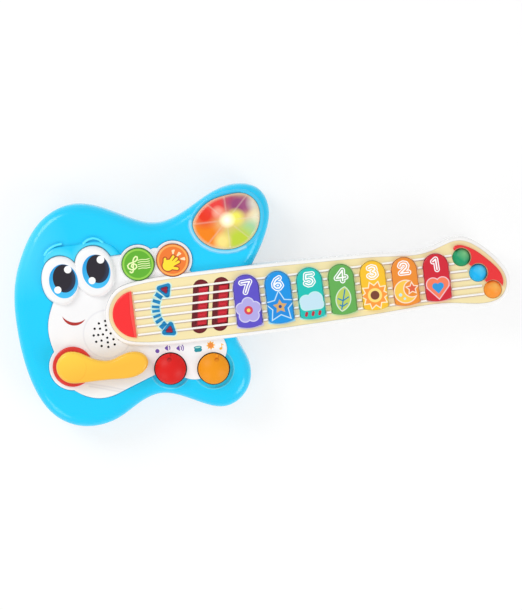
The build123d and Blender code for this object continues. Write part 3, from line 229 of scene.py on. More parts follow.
# paint(tint, point, surface) gives the printed colour; it may put relief and emission into surface.
# The other values come from the entry of the piece in its dictionary.
def finish(name, paint=None, *, title, shade, roughness, coat=0.0, metallic=0.0, pores=1.0):
    made = bpy.data.materials.new(title)
    made.use_nodes = True
    tree = made.node_tree
    tree.nodes.clear()
    start = Wire(tree)
    spot = start.node("ShaderNodeTexCoord", None, None, "Object")
    scale = drawing["perMetre"]
    point = start.vector("MULTIPLY_ADD", spot, (scale, scale, 0), (offsetX, offsetY, 0))
    flow, ripple, grain = [
        start.node("ShaderNodeTexNoise", None, {"Vector": spot, **mouldedFinish[kind]})
        for kind in ("flow", "ripple", "pores")
    ]
    base = colour(*shade)
    deeper = (*(value * (1 - mouldedFinish["flowDepth"]) for value in base[:3]), 1.0)
    tint = mixed(base, flow, deeper)
    relief = grain * (mouldedFinish["poreDepth"] * pores) + ripple * (mouldedFinish["rippleDepth"] * pores)
    surface = {"spot": spot, "height": axisOf(spot, 2) * scale}
    if paint:
        tint = paint(tint, point, surface)
    if "relief" in surface:
        relief = relief + surface["relief"]
    sockets = {
        "Base Color": tint,
        "Roughness": (ripple - 0.5) * mouldedFinish["rippleRoughness"] + roughness,
        "Metallic": metallic,
        "Coat Weight": coat,
        "Specular IOR Level": mouldedFinish["specular"] + metallic * mouldedFinish["metalSpecular"],
        "Normal": start.node("ShaderNodeBump", None, {"Strength": 1.0, "Distance": 1.0, "Height": relief}),
    }
    if "emission" in surface:
        sockets["Emission Color"] = surface["emission"]
        sockets["Emission Strength"] = 1.0
    shader = start.node("ShaderNodeBsdfPrincipled", None, sockets)
    start.node("ShaderNodeOutputMaterial", None, {"Surface": shader})
    target = nodes[name]
    target.data.materials.clear()
    target.data.materials.append(made)


# Body: the lids, brows and lens rim stand above the blue front and are paler by painted highlight and painted
# reflection; painted highlights also pale the lower sides and the upper-left corner, and painted shade lines
# the seams, the brows, the top of the lens and the knob wells.
body = {
    "body_front_shell": {"title": "blueFront", "shade": (0, 208, 254), "roughness": 0.24, "coat": 0.2},
    "body_back_shell": {"title": "blueBack", "shade": (0, 208, 254), "roughness": 0.3, "coat": 0.2},
    "battery_door": {"title": "blueDoor", "shade": (0, 208, 254), "roughness": 0.34},
    "frontZ": 35.25, "frontFade": 0.3,
    "side": ((62, 214, 248), 7.0, 0.6), "sideSheenTop": 29.0,
    "eyes": [(-92.7, 34.4, 16.0, 20.7), (-64.2, 38.8, 16.9, 21.5)],
    "lid": (96, 228, 254), "lidCover": 0.7, "lidReach": 2.5, "lidFade": 6.0,
    "lidEnd": -20.0, "lidEndFade": 2.0, "lensRimReflection": (86, 196, 236), "lensRimReflectionCover": 0.5,
    "sheen": (-128.0, 66.0, 12.0), "sheenInk": ((120, 226, 252), 70.0, 0.5),
    "lensShade": [
        (19.8, 69.0), (22.4, 74.6), (27.4, 79.8), (33.4, 84.0), (40.0, 86.8), (47.2, 88.5), (54.8, 89.4),
        (62.0, 89.2),
    ],
    "lensShadeR": 0.2, "lensShadeInk": ((0, 118, 168), 1.4, 0.75),
    "lensGlow": [
        (18.4, 70.0), (17.6, 66.0), (18.2, 61.7), (21.1, 54.9), (25.9, 49.2), (32.0, 45.0), (38.9, 42.3),
        (46.2, 41.2), (53.6, 41.6), (60.7, 43.7),
    ],
    "lensGlowR": 0.5, "lensGlowInk": ((208, 240, 250), 3.0, 0.8),
    "brows": [
        [(-103.2, 56.8), (-100.6, 60.0), (-96.6, 62.4), (-92.8, 63.6), (-88.8, 64.2)],
        [(-70.4, 62.4), (-66.6, 64.9), (-62.5, 65.8), (-58.6, 64.4), (-55.0, 61.6)],
    ],
    "browR": 0.7, "browHighlightInk": ((92, 234, 255), 0.8),
    "browShadow": (0.3, -1.5), "browShadowR": 0.2, "browShadowInk": ((0, 168, 214), 0.9, 0.6),
    "knobs": [(-12.0, -48.2), (23.1, -52.3)],
    "wellR": 13.55, "wellShadeInk": ((44, 14, 10),),
    "lineR": 16.6, "lineHalf": 0.4, "lineInk": ((120, 232, 255), 1.0, 0.8),
    "cheekSeam": [(-101.9, 16.6), (-105.0, 9.0), (-107.6, 0.0), (-108.0, -11.0), (-105.9, -23.0)],
    "discSeam": (-91.4, -37.0, 19.85, 0.3), "discSeamTop": -22.5,
    "lowerSeam": [
        (-91.0, -57.7), (-84.2, -62.7), (-78.0, -64.7), (-72.0, -66.0), (-60.0, -64.8), (-49.0, -60.7),
        (-38.0, -56.7), (-27.0, -52.7),
    ],
    "seamR": 0.3, "eyeSeamR": 0.35, "seamShadeInk": ((0, 118, 168), 0.5, 0.6),
}


# Painted shade: dark discs under the knobs darken the wells round them.
def paintWellShade(tint, point):
    for x, y in body["knobs"]:
        tint = inked(tint, disc(point, x, y, body["wellR"]), *body["wellShadeInk"])
    return tint


# Distance to the seams that carry painted shade lines.
def seamShadeLines(point, eyes):
    along, across = axisOf(point, 0), axisOf(point, 1)
    x = body["discSeam"][0]
    besideDisc = ring(point, *body["discSeam"]) & (along - x) & (across - body["discSeamTop"])
    edges = [stroke(point, body[name], body["seamR"]) for name in ("cheekSeam", "lowerSeam")]
    return joined([besideDisc, *edges, abs(eyes) - body["eyeSeamR"]])


def paintBody(tint, point, surface):
    raised = inside(body["frontZ"] - surface["height"], body["frontFade"])
    left = inside(axisOf(point, 0) - body["lidEnd"], body["lidEndFade"])
    eyes = joined([oval(point, *eye) for eye in body["eyes"]])
    # Painted highlight: the raised lids pale towards the eyes.
    lids = raised * left * inside(eyes - body["lidReach"], body["lidFade"])
    # Painted highlight: the sides low on the shell are paler.
    tint = inked(tint, surface["height"] - body["sideSheenTop"], *body["side"])
    tint = mixed(tint, lids * body["lidCover"], colour(*body["lid"]))
    tint = inked(tint, disc(point, *body["sheen"]), *body["sheenInk"])
    # Painted reflection: the raised lens rim turns greyer blue.
    tint = mixed(tint, raised * (1 - left) * body["lensRimReflectionCover"], colour(*body["lensRimReflection"]))
    # Painted shadow along the upper edge of the lens, and a painted highlight along the lower left of its
    # rim.
    tint = inked(tint, stroke(point, body["lensShade"], body["lensShadeR"]), *body["lensShadeInk"])
    tint = inked(tint, stroke(point, body["lensGlow"], body["lensGlowR"]), *body["lensGlowInk"])
    # Painted shadow under each brow and a painted highlight along it.
    for brow in body["brows"]:
        below = [(x + body["browShadow"][0], y + body["browShadow"][1]) for x, y in brow]
        tint = inked(tint, stroke(point, below, body["browShadowR"]), *body["browShadowInk"])
        tint = inked(tint, stroke(point, brow, body["browR"]), *body["browHighlightInk"])
    for x, y in body["knobs"]:
        tint = inked(tint, ring(point, x, y, body["lineR"], body["lineHalf"]), *body["lineInk"])
    # Painted shade lines along the seams round the face panel and the eyes.
    tint = inked(tint, seamShadeLines(point, eyes), *body["seamShadeInk"])
    return paintWellShade(tint, point)


finish("body_front_shell", paintBody, **body["body_front_shell"])
for name in ("body_back_shell", "battery_door"):
    finish(name, **body[name])
print("body coloured")

# Face: irises, pupils and printed highlights on the two mounds, and the smile; painted shade lines run along
# the foot of the right eye mound, round the grille and under the lever.
face = {
    "face_panel": {"title": "whiteFace", "shade": (249, 249, 250), "roughness": 0.26, "coat": 0.15},
    "iris": (10, 150, 222), "irisLow": (62, 192, 246), "pupil": (26, 20, 34), "eyeLean": 4,
    "pupilEdge": ((30, 52, 84), 2.6, 0.8), "pupilEdgeShift": (-2.4, 0.8),
    "eyes": [
        {
            "iris": (-90.1, 33.8, 11.75, 14.05), "pupil": (-89.3, 36.0, 9.25, 11.55),
            "glints": [(-85.5, 42.9, 3.0), (-95.6, 27.3, 2.9)],
        },
        {
            "iris": (-62.5, 38.6, 11.5, 13.95), "pupil": (-61.1, 40.6, 9.25, 11.65),
            "glints": [(-58.0, 47.8, 3.1), (-66.9, 31.6, 2.9)],
        },
    ],
    "smile": [(-84.88, 6.49, 10.22), (-83.38, 12.56, 13.84)], "smileInk": ((176, 44, 36),),
    "moundShade": [(-78, 27), (-70, 19), (-58, 17.5), (-50, 22)], "moundShadeInk": ((214, 214, 222), 2.4, 0.5),
    "dish": (-59.9, -13.7, 19.7, 0.4), "dishShadeInk": ((214, 214, 222), 1.4, 0.5),
    "sweepShades": [
        [(-84, -51.5), (-66, -56.5), (-50, -61.5)], [(-80, -54.5), (-64, -59.5), (-52, -63)],
    ],
    "sweepShadeR": 0.5, "sweepShadeInk": ((214, 214, 222), 1.2, 0.6),
}


def paintEye(tint, point, eye):
    x, y, halfWidth, halfHeight = eye["iris"]
    rise = clamped(axisOf(point, 1) - (y - halfHeight), 0.5 / halfHeight)
    iris = mixed(colour(*face["irisLow"]), rise, colour(*face["iris"]))
    tint = mixed(tint, inside(oval(point, *eye["iris"], face["eyeLean"])), iris)
    x, y, halfWidth, halfHeight = eye["pupil"]
    moved = (x + face["pupilEdgeShift"][0], y + face["pupilEdgeShift"][1], halfWidth, halfHeight)
    pupil = inked(colour(*face["pupil"]), 0 - oval(point, *moved, face["eyeLean"]), *face["pupilEdge"])
    tint = mixed(tint, inside(oval(point, *eye["pupil"], face["eyeLean"])), pupil)
    for glint in eye["glints"]:
        tint = inked(tint, disc(point, *glint), white)
    return tint


# Icons beside the knobs: volume marks at the first, modes at the second.
icons = {
    "purple": (112, 76, 168), "teal": (22, 142, 156), "tealTop": (170, 226, 214),
    "orange": (236, 140, 62), "gold": (246, 180, 60),
    "mute": (-21.0, -32.5, 1.7), "quiet": (-12.5, -31.0), "loud": (-3.0, -32.3),
    "drum": (12.3, -34.6), "sunny": (23.0, -33.0), "note": (31.5, -35.0),
}


def loudspeaker(point, x, y, waves):
    horn = halfPlane(point, x - 2.0, y + 0.7, radians(125))
    horn = horn & halfPlane(point, x - 2.0, y - 0.7, radians(-125))
    mark = horn & halfPlane(point, x + 0.5, y, 0) & halfPlane(point, x - 2.2, y, pi)
    for step in range(waves):
        ahead = halfPlane(point, x - 0.4, y, radians(130)) & halfPlane(point, x - 0.4, y, radians(-130))
        mark = mark | (ring(point, x - 0.6, y, 2.6 + 1.5 * step, 0.4) & ahead)
    return mark


def drum(point, x, y):
    return stroke(point, [(x - 1.6, y - 1.0), (x + 1.6, y - 1.0)], 1.6) | oval(point, x, y + 1.1, 3.3, 1.3)


def musicNote(point, x, y):
    stem = [(x + 0.5, y - 1.4), (x + 0.5, y + 2.2), (x + 1.8, y + 1.2)]
    return oval(point, x - 0.6, y - 1.6, 1.3, 1.0, 20) | stroke(point, stem, 0.35)


def paintIcons(tint, point):
    tint = inked(tint, disc(point, *icons["mute"]), icons["purple"])
    for name, waves in (("quiet", 1), ("loud", 2)):
        tint = inked(tint, loudspeaker(point, *icons[name], waves), icons["purple"])
    tint = inked(tint, drum(point, *icons["drum"]), icons["teal"])
    x, y = icons["drum"]
    tint = inked(tint, oval(point, x, y + 1.2, 2.3, 0.6), icons["tealTop"])
    tint = inked(tint, star(point, *icons["sunny"], 3.9, 2.4, 8, 0), icons["gold"])
    tint = inked(tint, disc(point, *icons["sunny"], 2.1), icons["orange"])
    return inked(tint, musicNote(point, *icons["note"]), icons["gold"])


def paintFace(tint, point, surface):
    for eye in face["eyes"]:
        tint = paintEye(tint, point, eye)
    outer, inner = face["smile"]
    tint = inked(tint, disc(point, *outer) & (0 - disc(point, *inner)), *face["smileInk"])
    # Painted shade along the foot of the right eye mound.
    tint = inked(tint, stroke(point, face["moundShade"], 0.0), *face["moundShadeInk"])
    # Painted shade ring round the grille.
    tint = inked(tint, ring(point, *face["dish"]), *face["dishShadeInk"])
    # Painted shade lines under the lever, along its sweep.
    for sweepShade in face["sweepShades"]:
        tint = inked(tint, stroke(point, sweepShade, face["sweepShadeR"]), *face["sweepShadeInk"])
    return paintWellShade(paintIcons(tint, point), point)


finish("face_panel", paintFace, **face["face_panel"])
print("face painted")

# Neck: white rim, cream plate with its arrow print, white strings.
neck = {
    "fretboard": {"title": "creamPlate", "shade": (247, 231, 178), "roughness": 0.38},
    "string_set": {"title": "whiteStrings", "shade": (253, 251, 247), "roughness": 0.35},
    "neck_front_housing": {
        "title": "whiteNeck", "shade": (250, 249, 247), "roughness": 0.27, "coat": 0.15, "pores": 0.3,
    },
    "neck_back_housing": {
        "title": "whiteNeckBack", "shade": (250, 249, 247), "roughness": 0.32, "coat": 0.1, "pores": 0.3,
    },
    "arcCentre": (0.0, 0.5), "dashReach": 3.2,
    "dashes": [
        (-14.3, 12.6, 1.75), (-16.7, 8.2, 1.45), (-17.8, 3.9, 1.05), (-18.0, 0.5, 1.15), (-17.6, -3.6, 1.15),
        (-16.4, -7.5, 1.5), (-13.6, -11.8, 1.95),
    ],
    "head": [(-5.9, 19.9), (-13.1, 18.7), (-7.4, 12.7)], "headRounding": 2.2,
    "headCore": 0.45, "coreRounding": 0.8, "coreLine": 0.7,
    "halo": 1.0, "haloInk": ((206, 240, 232), 0.5), "arrowInk": ((16, 134, 190), 0.3),
    "headLineInk": ((30, 62, 118), 0.3), "headCoreInk": ((162, 28, 58), 0.3),
    "strings": [(17.0, 227.5), (10.2, 229.0), (3.3, 239.0), (-3.6, 240.5), (-10.5, 249.5), (-17.3, 250.5)],
    "stringStart": -35.0, "shadeDrop": 0.95, "shadeHalf": 0.35, "shadeInk": ((190, 172, 170), 0.5, 0.8),
    "keyTops": (20.1, 21.4), "keyBottoms": (-18.8, -22.0), "keyHalf": 10.25, "footR": 41.0,
    "keyHalo": 0.8, "keyHaloSoft": 0.5,
    "keyHalos": [
        (255, 214, 202), (255, 232, 196), (255, 246, 176), (216, 240, 184), (170, 240, 234), (168, 234, 250),
        (222, 214, 248),
    ],
}


def arrowDash(point, x, y, half):
    angle = atan2(y - neck["arcCentre"][1], x - neck["arcCentre"][0])
    across = abs(halfPlane(point, x, y, angle)) - neck["dashReach"]
    return across & (abs(halfPlane(point, x, y, angle + pi / 2)) - half)


def paintArrow(tint, point):
    dashes = joined([arrowDash(point, *dash) for dash in neck["dashes"]])
    lower = [(x, 2 * neck["arcCentre"][1] - y) for x, y in neck["head"]]
    heads = [(corners, triangle(point, corners, neck["headRounding"])) for corners in (neck["head"], lower)]
    around = joined([dashes, *(shape for corners, shape in heads)])
    tint = inked(tint, around - neck["halo"], *neck["haloInk"])
    tint = inked(tint, dashes, *neck["arrowInk"])
    for corners, shape in heads:
        middle = middleOfCorners(corners)
        small = [
            tuple(middle[axis] + (corner[axis] - middle[axis]) * neck["headCore"] for axis in range(2))
            for corner in corners
        ]
        core = triangle(point, small, neck["coreRounding"])
        tint = inked(tint, shape, *neck["arrowInk"])
        tint = inked(tint, core - neck["coreLine"], *neck["headLineInk"])
        tint = inked(tint, core, *neck["headCoreInk"])
    return tint


# A thin shade along the lower side of each string, and the arrow over it.
def paintStrings(tint, point, surface):
    along, across = axisOf(point, 0), axisOf(point, 1)
    for y, end in neck["strings"]:
        line = abs(across - (y - neck["shadeDrop"])) - neck["shadeHalf"]
        line = line & (along - end) & (neck["stringStart"] - along)
        tint = inked(tint, line, *neck["shadeInk"])
    return paintArrow(tint, point)


# A pale edge round the place of each key; the places grow towards the body.
def paintPlate(tint, point, surface):
    along, across = axisOf(point, 0), axisOf(point, 1)
    for step, shade in enumerate(neck["keyHalos"]):
        share = step / (len(neck["keyHalos"]) - 1)
        x = keyX(step + 1)
        top, bottom = (low + (high - low) * share for low, high in (neck["keyTops"], neck["keyBottoms"]))
        shoulder = top - neck["keyHalf"]
        foot = disc(point, x, bottom + neck["footR"], neck["footR"])
        sides = (abs(along - x) - neck["keyHalf"]) & (across - shoulder) & foot
        outline = sides | disc(point, x, shoulder, neck["keyHalf"])
        tint = inked(tint, outline - neck["keyHalo"], shade, neck["keyHaloSoft"])
    return paintStrings(tint, point, surface)


finish("fretboard", paintPlate, **neck["fretboard"])
finish("string_set", paintStrings, **neck["string_set"])
for name in ("neck_front_housing", "neck_back_housing"):
    finish(name, **neck[name])
print("neck coloured")

# Red and yellow trim: the bridge has a painted highlight on its bevel and a painted shade line at its edge,
# the lever a painted shade ring for the groove round its pivot and a painted highlight towards its paler end.
trim = {
    "bridge_cap": {"title": "redBridge", "shade": (250, 40, 44), "roughness": 0.32, "coat": 0.15},
    "headstock_cap": {"title": "redCrescent", "shade": (236, 44, 48), "roughness": 0.28, "coat": 0.2},
    "whammy_base_ring": {"title": "redRing", "shade": (222, 50, 40), "roughness": 0.3, "coat": 0.2},
    "whammy_lever": {"title": "yellowLever", "shade": (254, 192, 58), "roughness": 0.34, "coat": 0.15},
    "whammy_clip": {"title": "blackClip", "shade": (24, 24, 26), "roughness": 0.5},
    "bevelEdge": -39.2, "bevelLean": 0.06, "bevelHighlightInk": ((255, 82, 74), 0.4),
    "bevelLine": -39.3, "bevelLineHalf": 0.2, "bevelShadeInk": ((206, 26, 32), 0.5, 0.7),
    "leverHighlight": (255, 222, 72), "highlightRise": 0.05, "highlightRun": -0.008, "highlightStart": 1.6, "highlightCover": 0.6,
    "groove": (-91.4, -37.0, 11.6, 0.35), "grooveShadeInk": ((248, 174, 48), 0.7, 0.6),
}


def paintBridge(tint, point, surface):
    along = axisOf(point, 0)
    lean = abs(axisOf(point, 1)) * trim["bevelLean"]
    # Painted highlight on the bevel.
    tint = inked(tint, lean - along + trim["bevelEdge"], *trim["bevelHighlightInk"])
    # Painted shade line along the bevel's edge.
    line = abs(along - lean - trim["bevelLine"]) - trim["bevelLineHalf"]
    return inked(tint, line, *trim["bevelShadeInk"])


def paintLever(tint, point, surface):
    # Painted shade in the groove round the pivot.
    tint = inked(tint, ring(point, *trim["groove"]), *trim["grooveShadeInk"])
    # Painted highlight, growing towards the upper left.
    light = axisOf(point, 1) * trim["highlightRise"] + axisOf(point, 0) * trim["highlightRun"] + trim["highlightStart"]
    return mixed(tint, clamped(light, trim["highlightCover"]), colour(*trim["leverHighlight"]))


finish("bridge_cap", paintBridge, **trim["bridge_cap"])
finish("whammy_lever", paintLever, **trim["whammy_lever"])
for name in ("headstock_cap", "whammy_base_ring", "whammy_clip"):
    finish(name, **trim[name])

# Knobs: painted shade darkens a dimple below each pointer, deepest at its upper edge.
knobs = {
    "volume_knob": {"title": "redKnob", "shade": (224, 18, 14), "roughness": 0.46},
    "mode_knob": {"title": "orangeKnob", "shade": (246, 154, 0), "roughness": 0.46},
    "dimpleShades": {
        "volume_knob": {"centre": (-12.0, -40.3), "dark": (132, 6, 10)},
        "mode_knob": {"centre": (26.6, -44.9), "dark": (196, 96, 0)},
    },
    "dimpleR": 1.8, "dimpleSoft": 1.0, "dimpleCover": 0.3,
    "browR": 1.9, "browDrop": 1.3, "browSoft": 0.9, "browCover": 0.8,
}


def knobPaint(name):
    x, y = knobs["dimpleShades"][name]["centre"]
    dark = knobs["dimpleShades"][name]["dark"]

    def paint(tint, point, surface):
        dimple = disc(point, x, y, knobs["dimpleR"])
        brow = dimple & (0 - disc(point, x, y - knobs["browDrop"], knobs["browR"]))
        # Painted shade in the dimple, darkest in a crescent at its upper edge.
        tint = inked(tint, dimple, dark, knobs["dimpleSoft"], knobs["dimpleCover"])
        return inked(tint, brow, dark, knobs["browSoft"], knobs["browCover"])

    return paint


for name in knobs["dimpleShades"]:
    finish(name, knobPaint(name), **knobs[name])

# Strum bar: dark red all over as painted shade, and bright as painted light on the tops of the bars where
# they show through the two slanted slots.
strum = {
    "strum_slider": {"title": "redStrum", "shade": (138, 10, 34), "roughness": 0.3, "coat": 0.2},
    "slots": [20.4, 37.1], "slotLean": -0.163, "slotHalf": 3.6, "slotSoft": 0.8,
    "top": 39.0, "topSoft": 0.6, "bright": (206, 26, 46),
}


def paintStrum(tint, point, surface):
    beside = axisOf(point, 0) + axisOf(point, 1) * strum["slotLean"]
    strips = joined([abs(beside - x) - strum["slotHalf"] for x in strum["slots"]])
    # Painted light on the bar tops inside the slots; the dark base colour is painted shade.
    seen = inside(strips, strum["slotSoft"]) * inside(strum["top"] - surface["height"], strum["topSoft"])
    return mixed(tint, seen, colour(*strum["bright"]))


finish("strum_slider", paintStrum, **strum["strum_slider"])

# Beads: a painted highlight makes each paler on the side towards the end of the neck.
beads = {
    "bead_green": {"title": "bead_greenSatin", "shade": (14, 156, 104), "roughness": 0.42},
    "bead_blue": {"title": "bead_blueSatin", "shade": (2, 184, 246), "roughness": 0.42},
    "bead_orange": {"title": "bead_orangeSatin", "shade": (250, 150, 44), "roughness": 0.42},
    "sheens": {
        "bead_green": {"centre": (238.1, 18.1), "pale": (150, 218, 146)},
        "bead_blue": {"centre": (250.3, 3.9), "pale": (112, 224, 250)},
        "bead_orange": {"centre": (260.7, -11.1), "pale": (255, 200, 104)},
    },
    "sheenR": 2.6, "sheenSoft": 8.0, "sheenCover": 0.8,
}


def beadPaint(sheen):
    def paint(tint, point, surface):
        # Painted highlight round a point beside the bead's middle.
        middle = disc(point, *sheen["centre"], beads["sheenR"])
        return inked(tint, middle, sheen["pale"], beads["sheenSoft"], beads["sheenCover"])

    return paint


for name, sheen in beads["sheens"].items():
    finish(name, beadPaint(sheen), **beads[name])
print("trim coloured")

# Round buttons: painted shade darkens each outer edge, just outside a paler printed ring; a clef with its
# staff on the green one, a clapping hand on the orange one.
buttons = {
    "melody_button": {"title": "greenButton", "shade": (96, 178, 42), "roughness": 0.3, "coat": 0.2},
    "clap_button": {"title": "orangeButton", "shade": (244, 124, 44), "roughness": 0.3, "coat": 0.2},
    "melodyRim": {"centre": (-28.1, 40.3), "ring": (146, 210, 74), "edge": (70, 140, 32)},
    "clapRim": {"centre": (0.5, 40.3), "ring": (255, 172, 84), "edge": (206, 96, 26)},
    "edgeShadeStart": 12.5, "edgeShadeSoft": 0.5, "ringSize": (11.9, 0.75), "ringSoft": 0.3,
    "cream": (240, 252, 186), "staff": [(-28.0, 0.0), (-25.0, 0.35), (-21.5, -0.15), (-18.4, 0.2)],
    "staffY": 36.6, "staffGap": 1.75, "staffLines": 5, "staffR": 0.32, "clefR": 0.55,
    "clef": [
        (-35.2, 35.0), (-34.4, 34.1), (-33.1, 34.4), (-32.4, 35.9), (-31.9, 40.0), (-31.8, 43.6),
        (-30.8, 45.7), (-29.3, 46.9), (-28.0, 46.3), (-28.1, 44.7), (-29.6, 43.1), (-32.6, 42.3),
        (-35.0, 41.7), (-36.6, 40.2), (-36.2, 38.0), (-34.1, 36.6), (-31.4, 36.6), (-29.4, 38.0),
        (-29.4, 39.9), (-31.0, 41.0), (-32.9, 40.7), (-33.7, 39.4), (-33.0, 38.4),
    ],
    "palm": (-3.6, 36.6, 4.7, 4.4, 30), "fingerR": 1.05, "yellow": (255, 226, 48),
    "handLine": 0.9, "handLineInk": ((176, 70, 24), 0.5),
    "fingers": [
        [(-6.4, 36.9), (-5.6, 42.0)], [(-2.6, 38.6), (1.3, 43.2)], [(-0.8, 37.6), (3.9, 41.2)],
        [(0.0, 36.4), (5.1, 38.4)], [(-1.5, 34.4), (3.4, 33.0)],
    ],
    "rays": [
        [(1.4, 45.6), (1.1, 48.0), (2.6, 48.3)], [(4.7, 43.6), (6.3, 46.0), (7.5, 44.8)],
        [(7.4, 40.6), (10.1, 41.2), (10.3, 39.6)],
    ],
    "rayR": 0.55, "rayColour": (255, 230, 184),
}


def paintRim(tint, point, rim):
    # Painted shade on the outer edge of each button; the paler ring is print.
    edge = buttons["edgeShadeStart"] - disc(point, *rim["centre"], 0.0)
    tint = inked(tint, edge, rim["edge"], buttons["edgeShadeSoft"])
    return inked(tint, ring(point, *rim["centre"], *buttons["ringSize"]), rim["ring"], buttons["ringSoft"])


def paintMelody(tint, point, surface):
    tint = paintRim(tint, point, buttons["melodyRim"])
    for row in range(buttons["staffLines"]):
        low = buttons["staffY"] + buttons["staffGap"] * row
        line = [(x, low + y) for x, y in buttons["staff"]]
        tint = inked(tint, stroke(point, line, buttons["staffR"]), buttons["cream"])
    return inked(tint, stroke(point, buttons["clef"], buttons["clefR"]), buttons["cream"])


def paintClap(tint, point, surface):
    tint = paintRim(tint, point, buttons["clapRim"])
    fingers = [stroke(point, finger, buttons["fingerR"]) for finger in buttons["fingers"]]
    hand = joined([oval(point, *buttons["palm"]), *fingers])
    tint = inked(tint, hand - buttons["handLine"], *buttons["handLineInk"])
    tint = inked(tint, hand, buttons["yellow"])
    for ray in buttons["rays"]:
        tint = inked(tint, stroke(point, ray + ray[:1], buttons["rayR"]), buttons["rayColour"])
    return tint


finish("melody_button", paintMelody, **buttons["melody_button"])
finish("clap_button", paintClap, **buttons["clap_button"])
print("buttons painted")

# Keys: outlined numbers over simple motifs. The numbers are drawn from -1 to 1 and the motifs in
# millimetres about their middle.
keys = {
    "finish": {"roughness": 0.34, "coat": 0.15}, "soft": 0.2,
    "shades": {
        1: (212, 28, 50), 2: (242, 144, 46), 3: (252, 198, 40), 4: (98, 174, 82),
        5: (12, 196, 184), 6: (8, 150, 232), 7: (92, 78, 200),
    },
    "digitY": 11.6, "halfWidth": 3.9, "halfHeight": 4.2,
    "outerR": 2.25, "outer": (252, 253, 255), "lineR": 1.4, "coreR": 0.6,
    "digits": {
        1: [(-0.5, 0.6), (0.1, 1.0), (0.2, -1.0)],
        2: [
            (-0.8, 0.5), (-0.6, 0.85), (-0.1, 1.0), (0.45, 0.85), (0.65, 0.45), (0.45, 0.0), (-0.8, -0.9),
            (0.85, -0.9),
        ],
        3: [
            (-0.7, 0.8), (-0.1, 1.0), (0.5, 0.8), (0.6, 0.4), (0.0, 0.1), (0.65, -0.2), (0.7, -0.65),
            (0.2, -1.0), (-0.4, -1.0), (-0.8, -0.7),
        ],
        4: [(0.3, -1.0), (0.45, 1.0), (-0.95, -0.4), (1.0, -0.35)],
        5: [
            (0.75, 1.0), (-0.55, 1.0), (-0.7, 0.15), (0.0, 0.25), (0.6, -0.05), (0.75, -0.5), (0.3, -0.95),
            (-0.25, -1.0), (-0.8, -0.7),
        ],
        6: [
            (0.45, 1.0), (-0.3, 0.65), (-0.75, 0.0), (-0.75, -0.55), (-0.3, -0.95), (0.3, -0.95),
            (0.75, -0.5), (0.5, 0.0), (-0.1, 0.1), (-0.65, -0.25),
        ],
        7: [(-0.9, 0.9), (0.9, 1.0), (0.35, 0.2), (-0.2, -1.0)],
    },
    "motifY": -7.6, "motifSize": 1.14, "motifLine": 0.75, "paleBase": 190, "paleShare": 0.25,
}


# Each motif gives its outline, its colour and the details on it.
def motifFlower(point):
    petals = disc(folded(point, 0, 0, 5, radians(-90)), 4.9, 0, 3.9)
    marks = [(disc(point, 0, 0, 3.1), (216, 62, 84)), (disc(point, 0, 0, 1.3), (252, 214, 96))]
    return petals, (178, 170, 230), marks


def motifStar(point):
    marks = [(star(point, 0, 0, 5.2, 2.7), (214, 168, 104)), (disc(point, 0, 0, 1.2), (20, 70, 150))]
    return star(point, 0, 0, 9.6, 4.9) - 0.5, (18, 138, 222), marks


def motifCloud(point):
    puffs = disc(point, -3.8, 1.2, 4.3) | disc(point, 2.6, 2.2, 5.0)
    puffs = puffs | stroke(point, [(-4.6, -1.6), (5.2, -1.4)], 3.0)
    drops = [stroke(point, [(x, -7.0), (x - 0.6, -8.6)], 1.0) for x in (-4.4, 0.4, 5.2)]
    return puffs, (196, 228, 242), [(drop, (182, 40, 60)) for drop in drops]


def motifLeaf(point):
    veins = [
        [(-2.0, -7.2), (1.8, 6.6)],
        [(-3.6, 0.6), (-0.3, -1.2), (3.8, 1.0)],
        [(-3.0, -4.0), (-1.2, -5.2), (2.4, -3.4)],
    ]
    leaf = disc(point, -4.6, 1.0, 9.6) & disc(point, 4.6, -1.0, 9.6)
    return leaf, (188, 208, 96), [(stroke(point, vein, 0.45), (22, 128, 178)) for vein in veins]


def motifSun(point):
    marks = [(disc(point, 0, 0, 5.1), (255, 222, 120)), (disc(point, 0, 0, 3.2), (118, 62, 40))]
    return star(point, 0, 0, 9.4, 6.6, 10, 0), (252, 156, 58), marks


def motifMoon(point):
    moon = disc(point, -0.6, 0, 7.8) & (0 - disc(point, 4.2, 1.6, 6.4))
    spark = star(point, 4.2, 1.8, 3.6, 1.8)
    specks = [(disc(point, *speck), (196, 232, 240)) for speck in ((-4.6, -2.0, 1.2), (-1.8, -5.0, 0.9))]
    return moon | spark, (252, 202, 76), [(spark, (226, 96, 60)), *specks]


def motifHeart(point):
    return heart(point, 0, 0, 7.8), (246, 124, 90), [(heart(point, 0, -0.2, 4.2), (40, 152, 220))]


motifs = {1: motifHeart, 2: motifMoon, 3: motifSun, 4: motifLeaf, 5: motifCloud, 6: motifStar, 7: motifFlower}


def keyPaint(number):
    x = keyX(number)
    shade = keys["shades"][number]
    line = [
        (x + dx * keys["halfWidth"], keys["digitY"] + dy * keys["halfHeight"])
        for dx, dy in keys["digits"][number]
    ]
    pale = [min(255, value * keys["paleShare"] + keys["paleBase"]) for value in shade]

    def paint(tint, point, surface):
        digit = stroke(point, line, 0.0)
        for radius, ink in ((keys["outerR"], keys["outer"]), (keys["lineR"], shade), (keys["coreR"], white)):
            tint = inked(tint, digit - radius, ink, keys["soft"])
        moved = point.vector("SUBTRACT", point, (x, keys["motifY"], 0))
        scaled = point.vector("MULTIPLY", moved, (1 / keys["motifSize"],) * 3)
        shape, fill, details = motifs[number](scaled)
        tint = inked(tint, shape - keys["motifLine"], pale, keys["soft"])
        for detail, ink in ((shape, fill), *details):
            tint = inked(tint, detail, ink, keys["soft"])
        return tint

    return paint


for number, shade in keys["shades"].items():
    finish(f"key_{number}", keyPaint(number), title=f"key{number}Print", shade=shade, **keys["finish"])
print("keys painted")

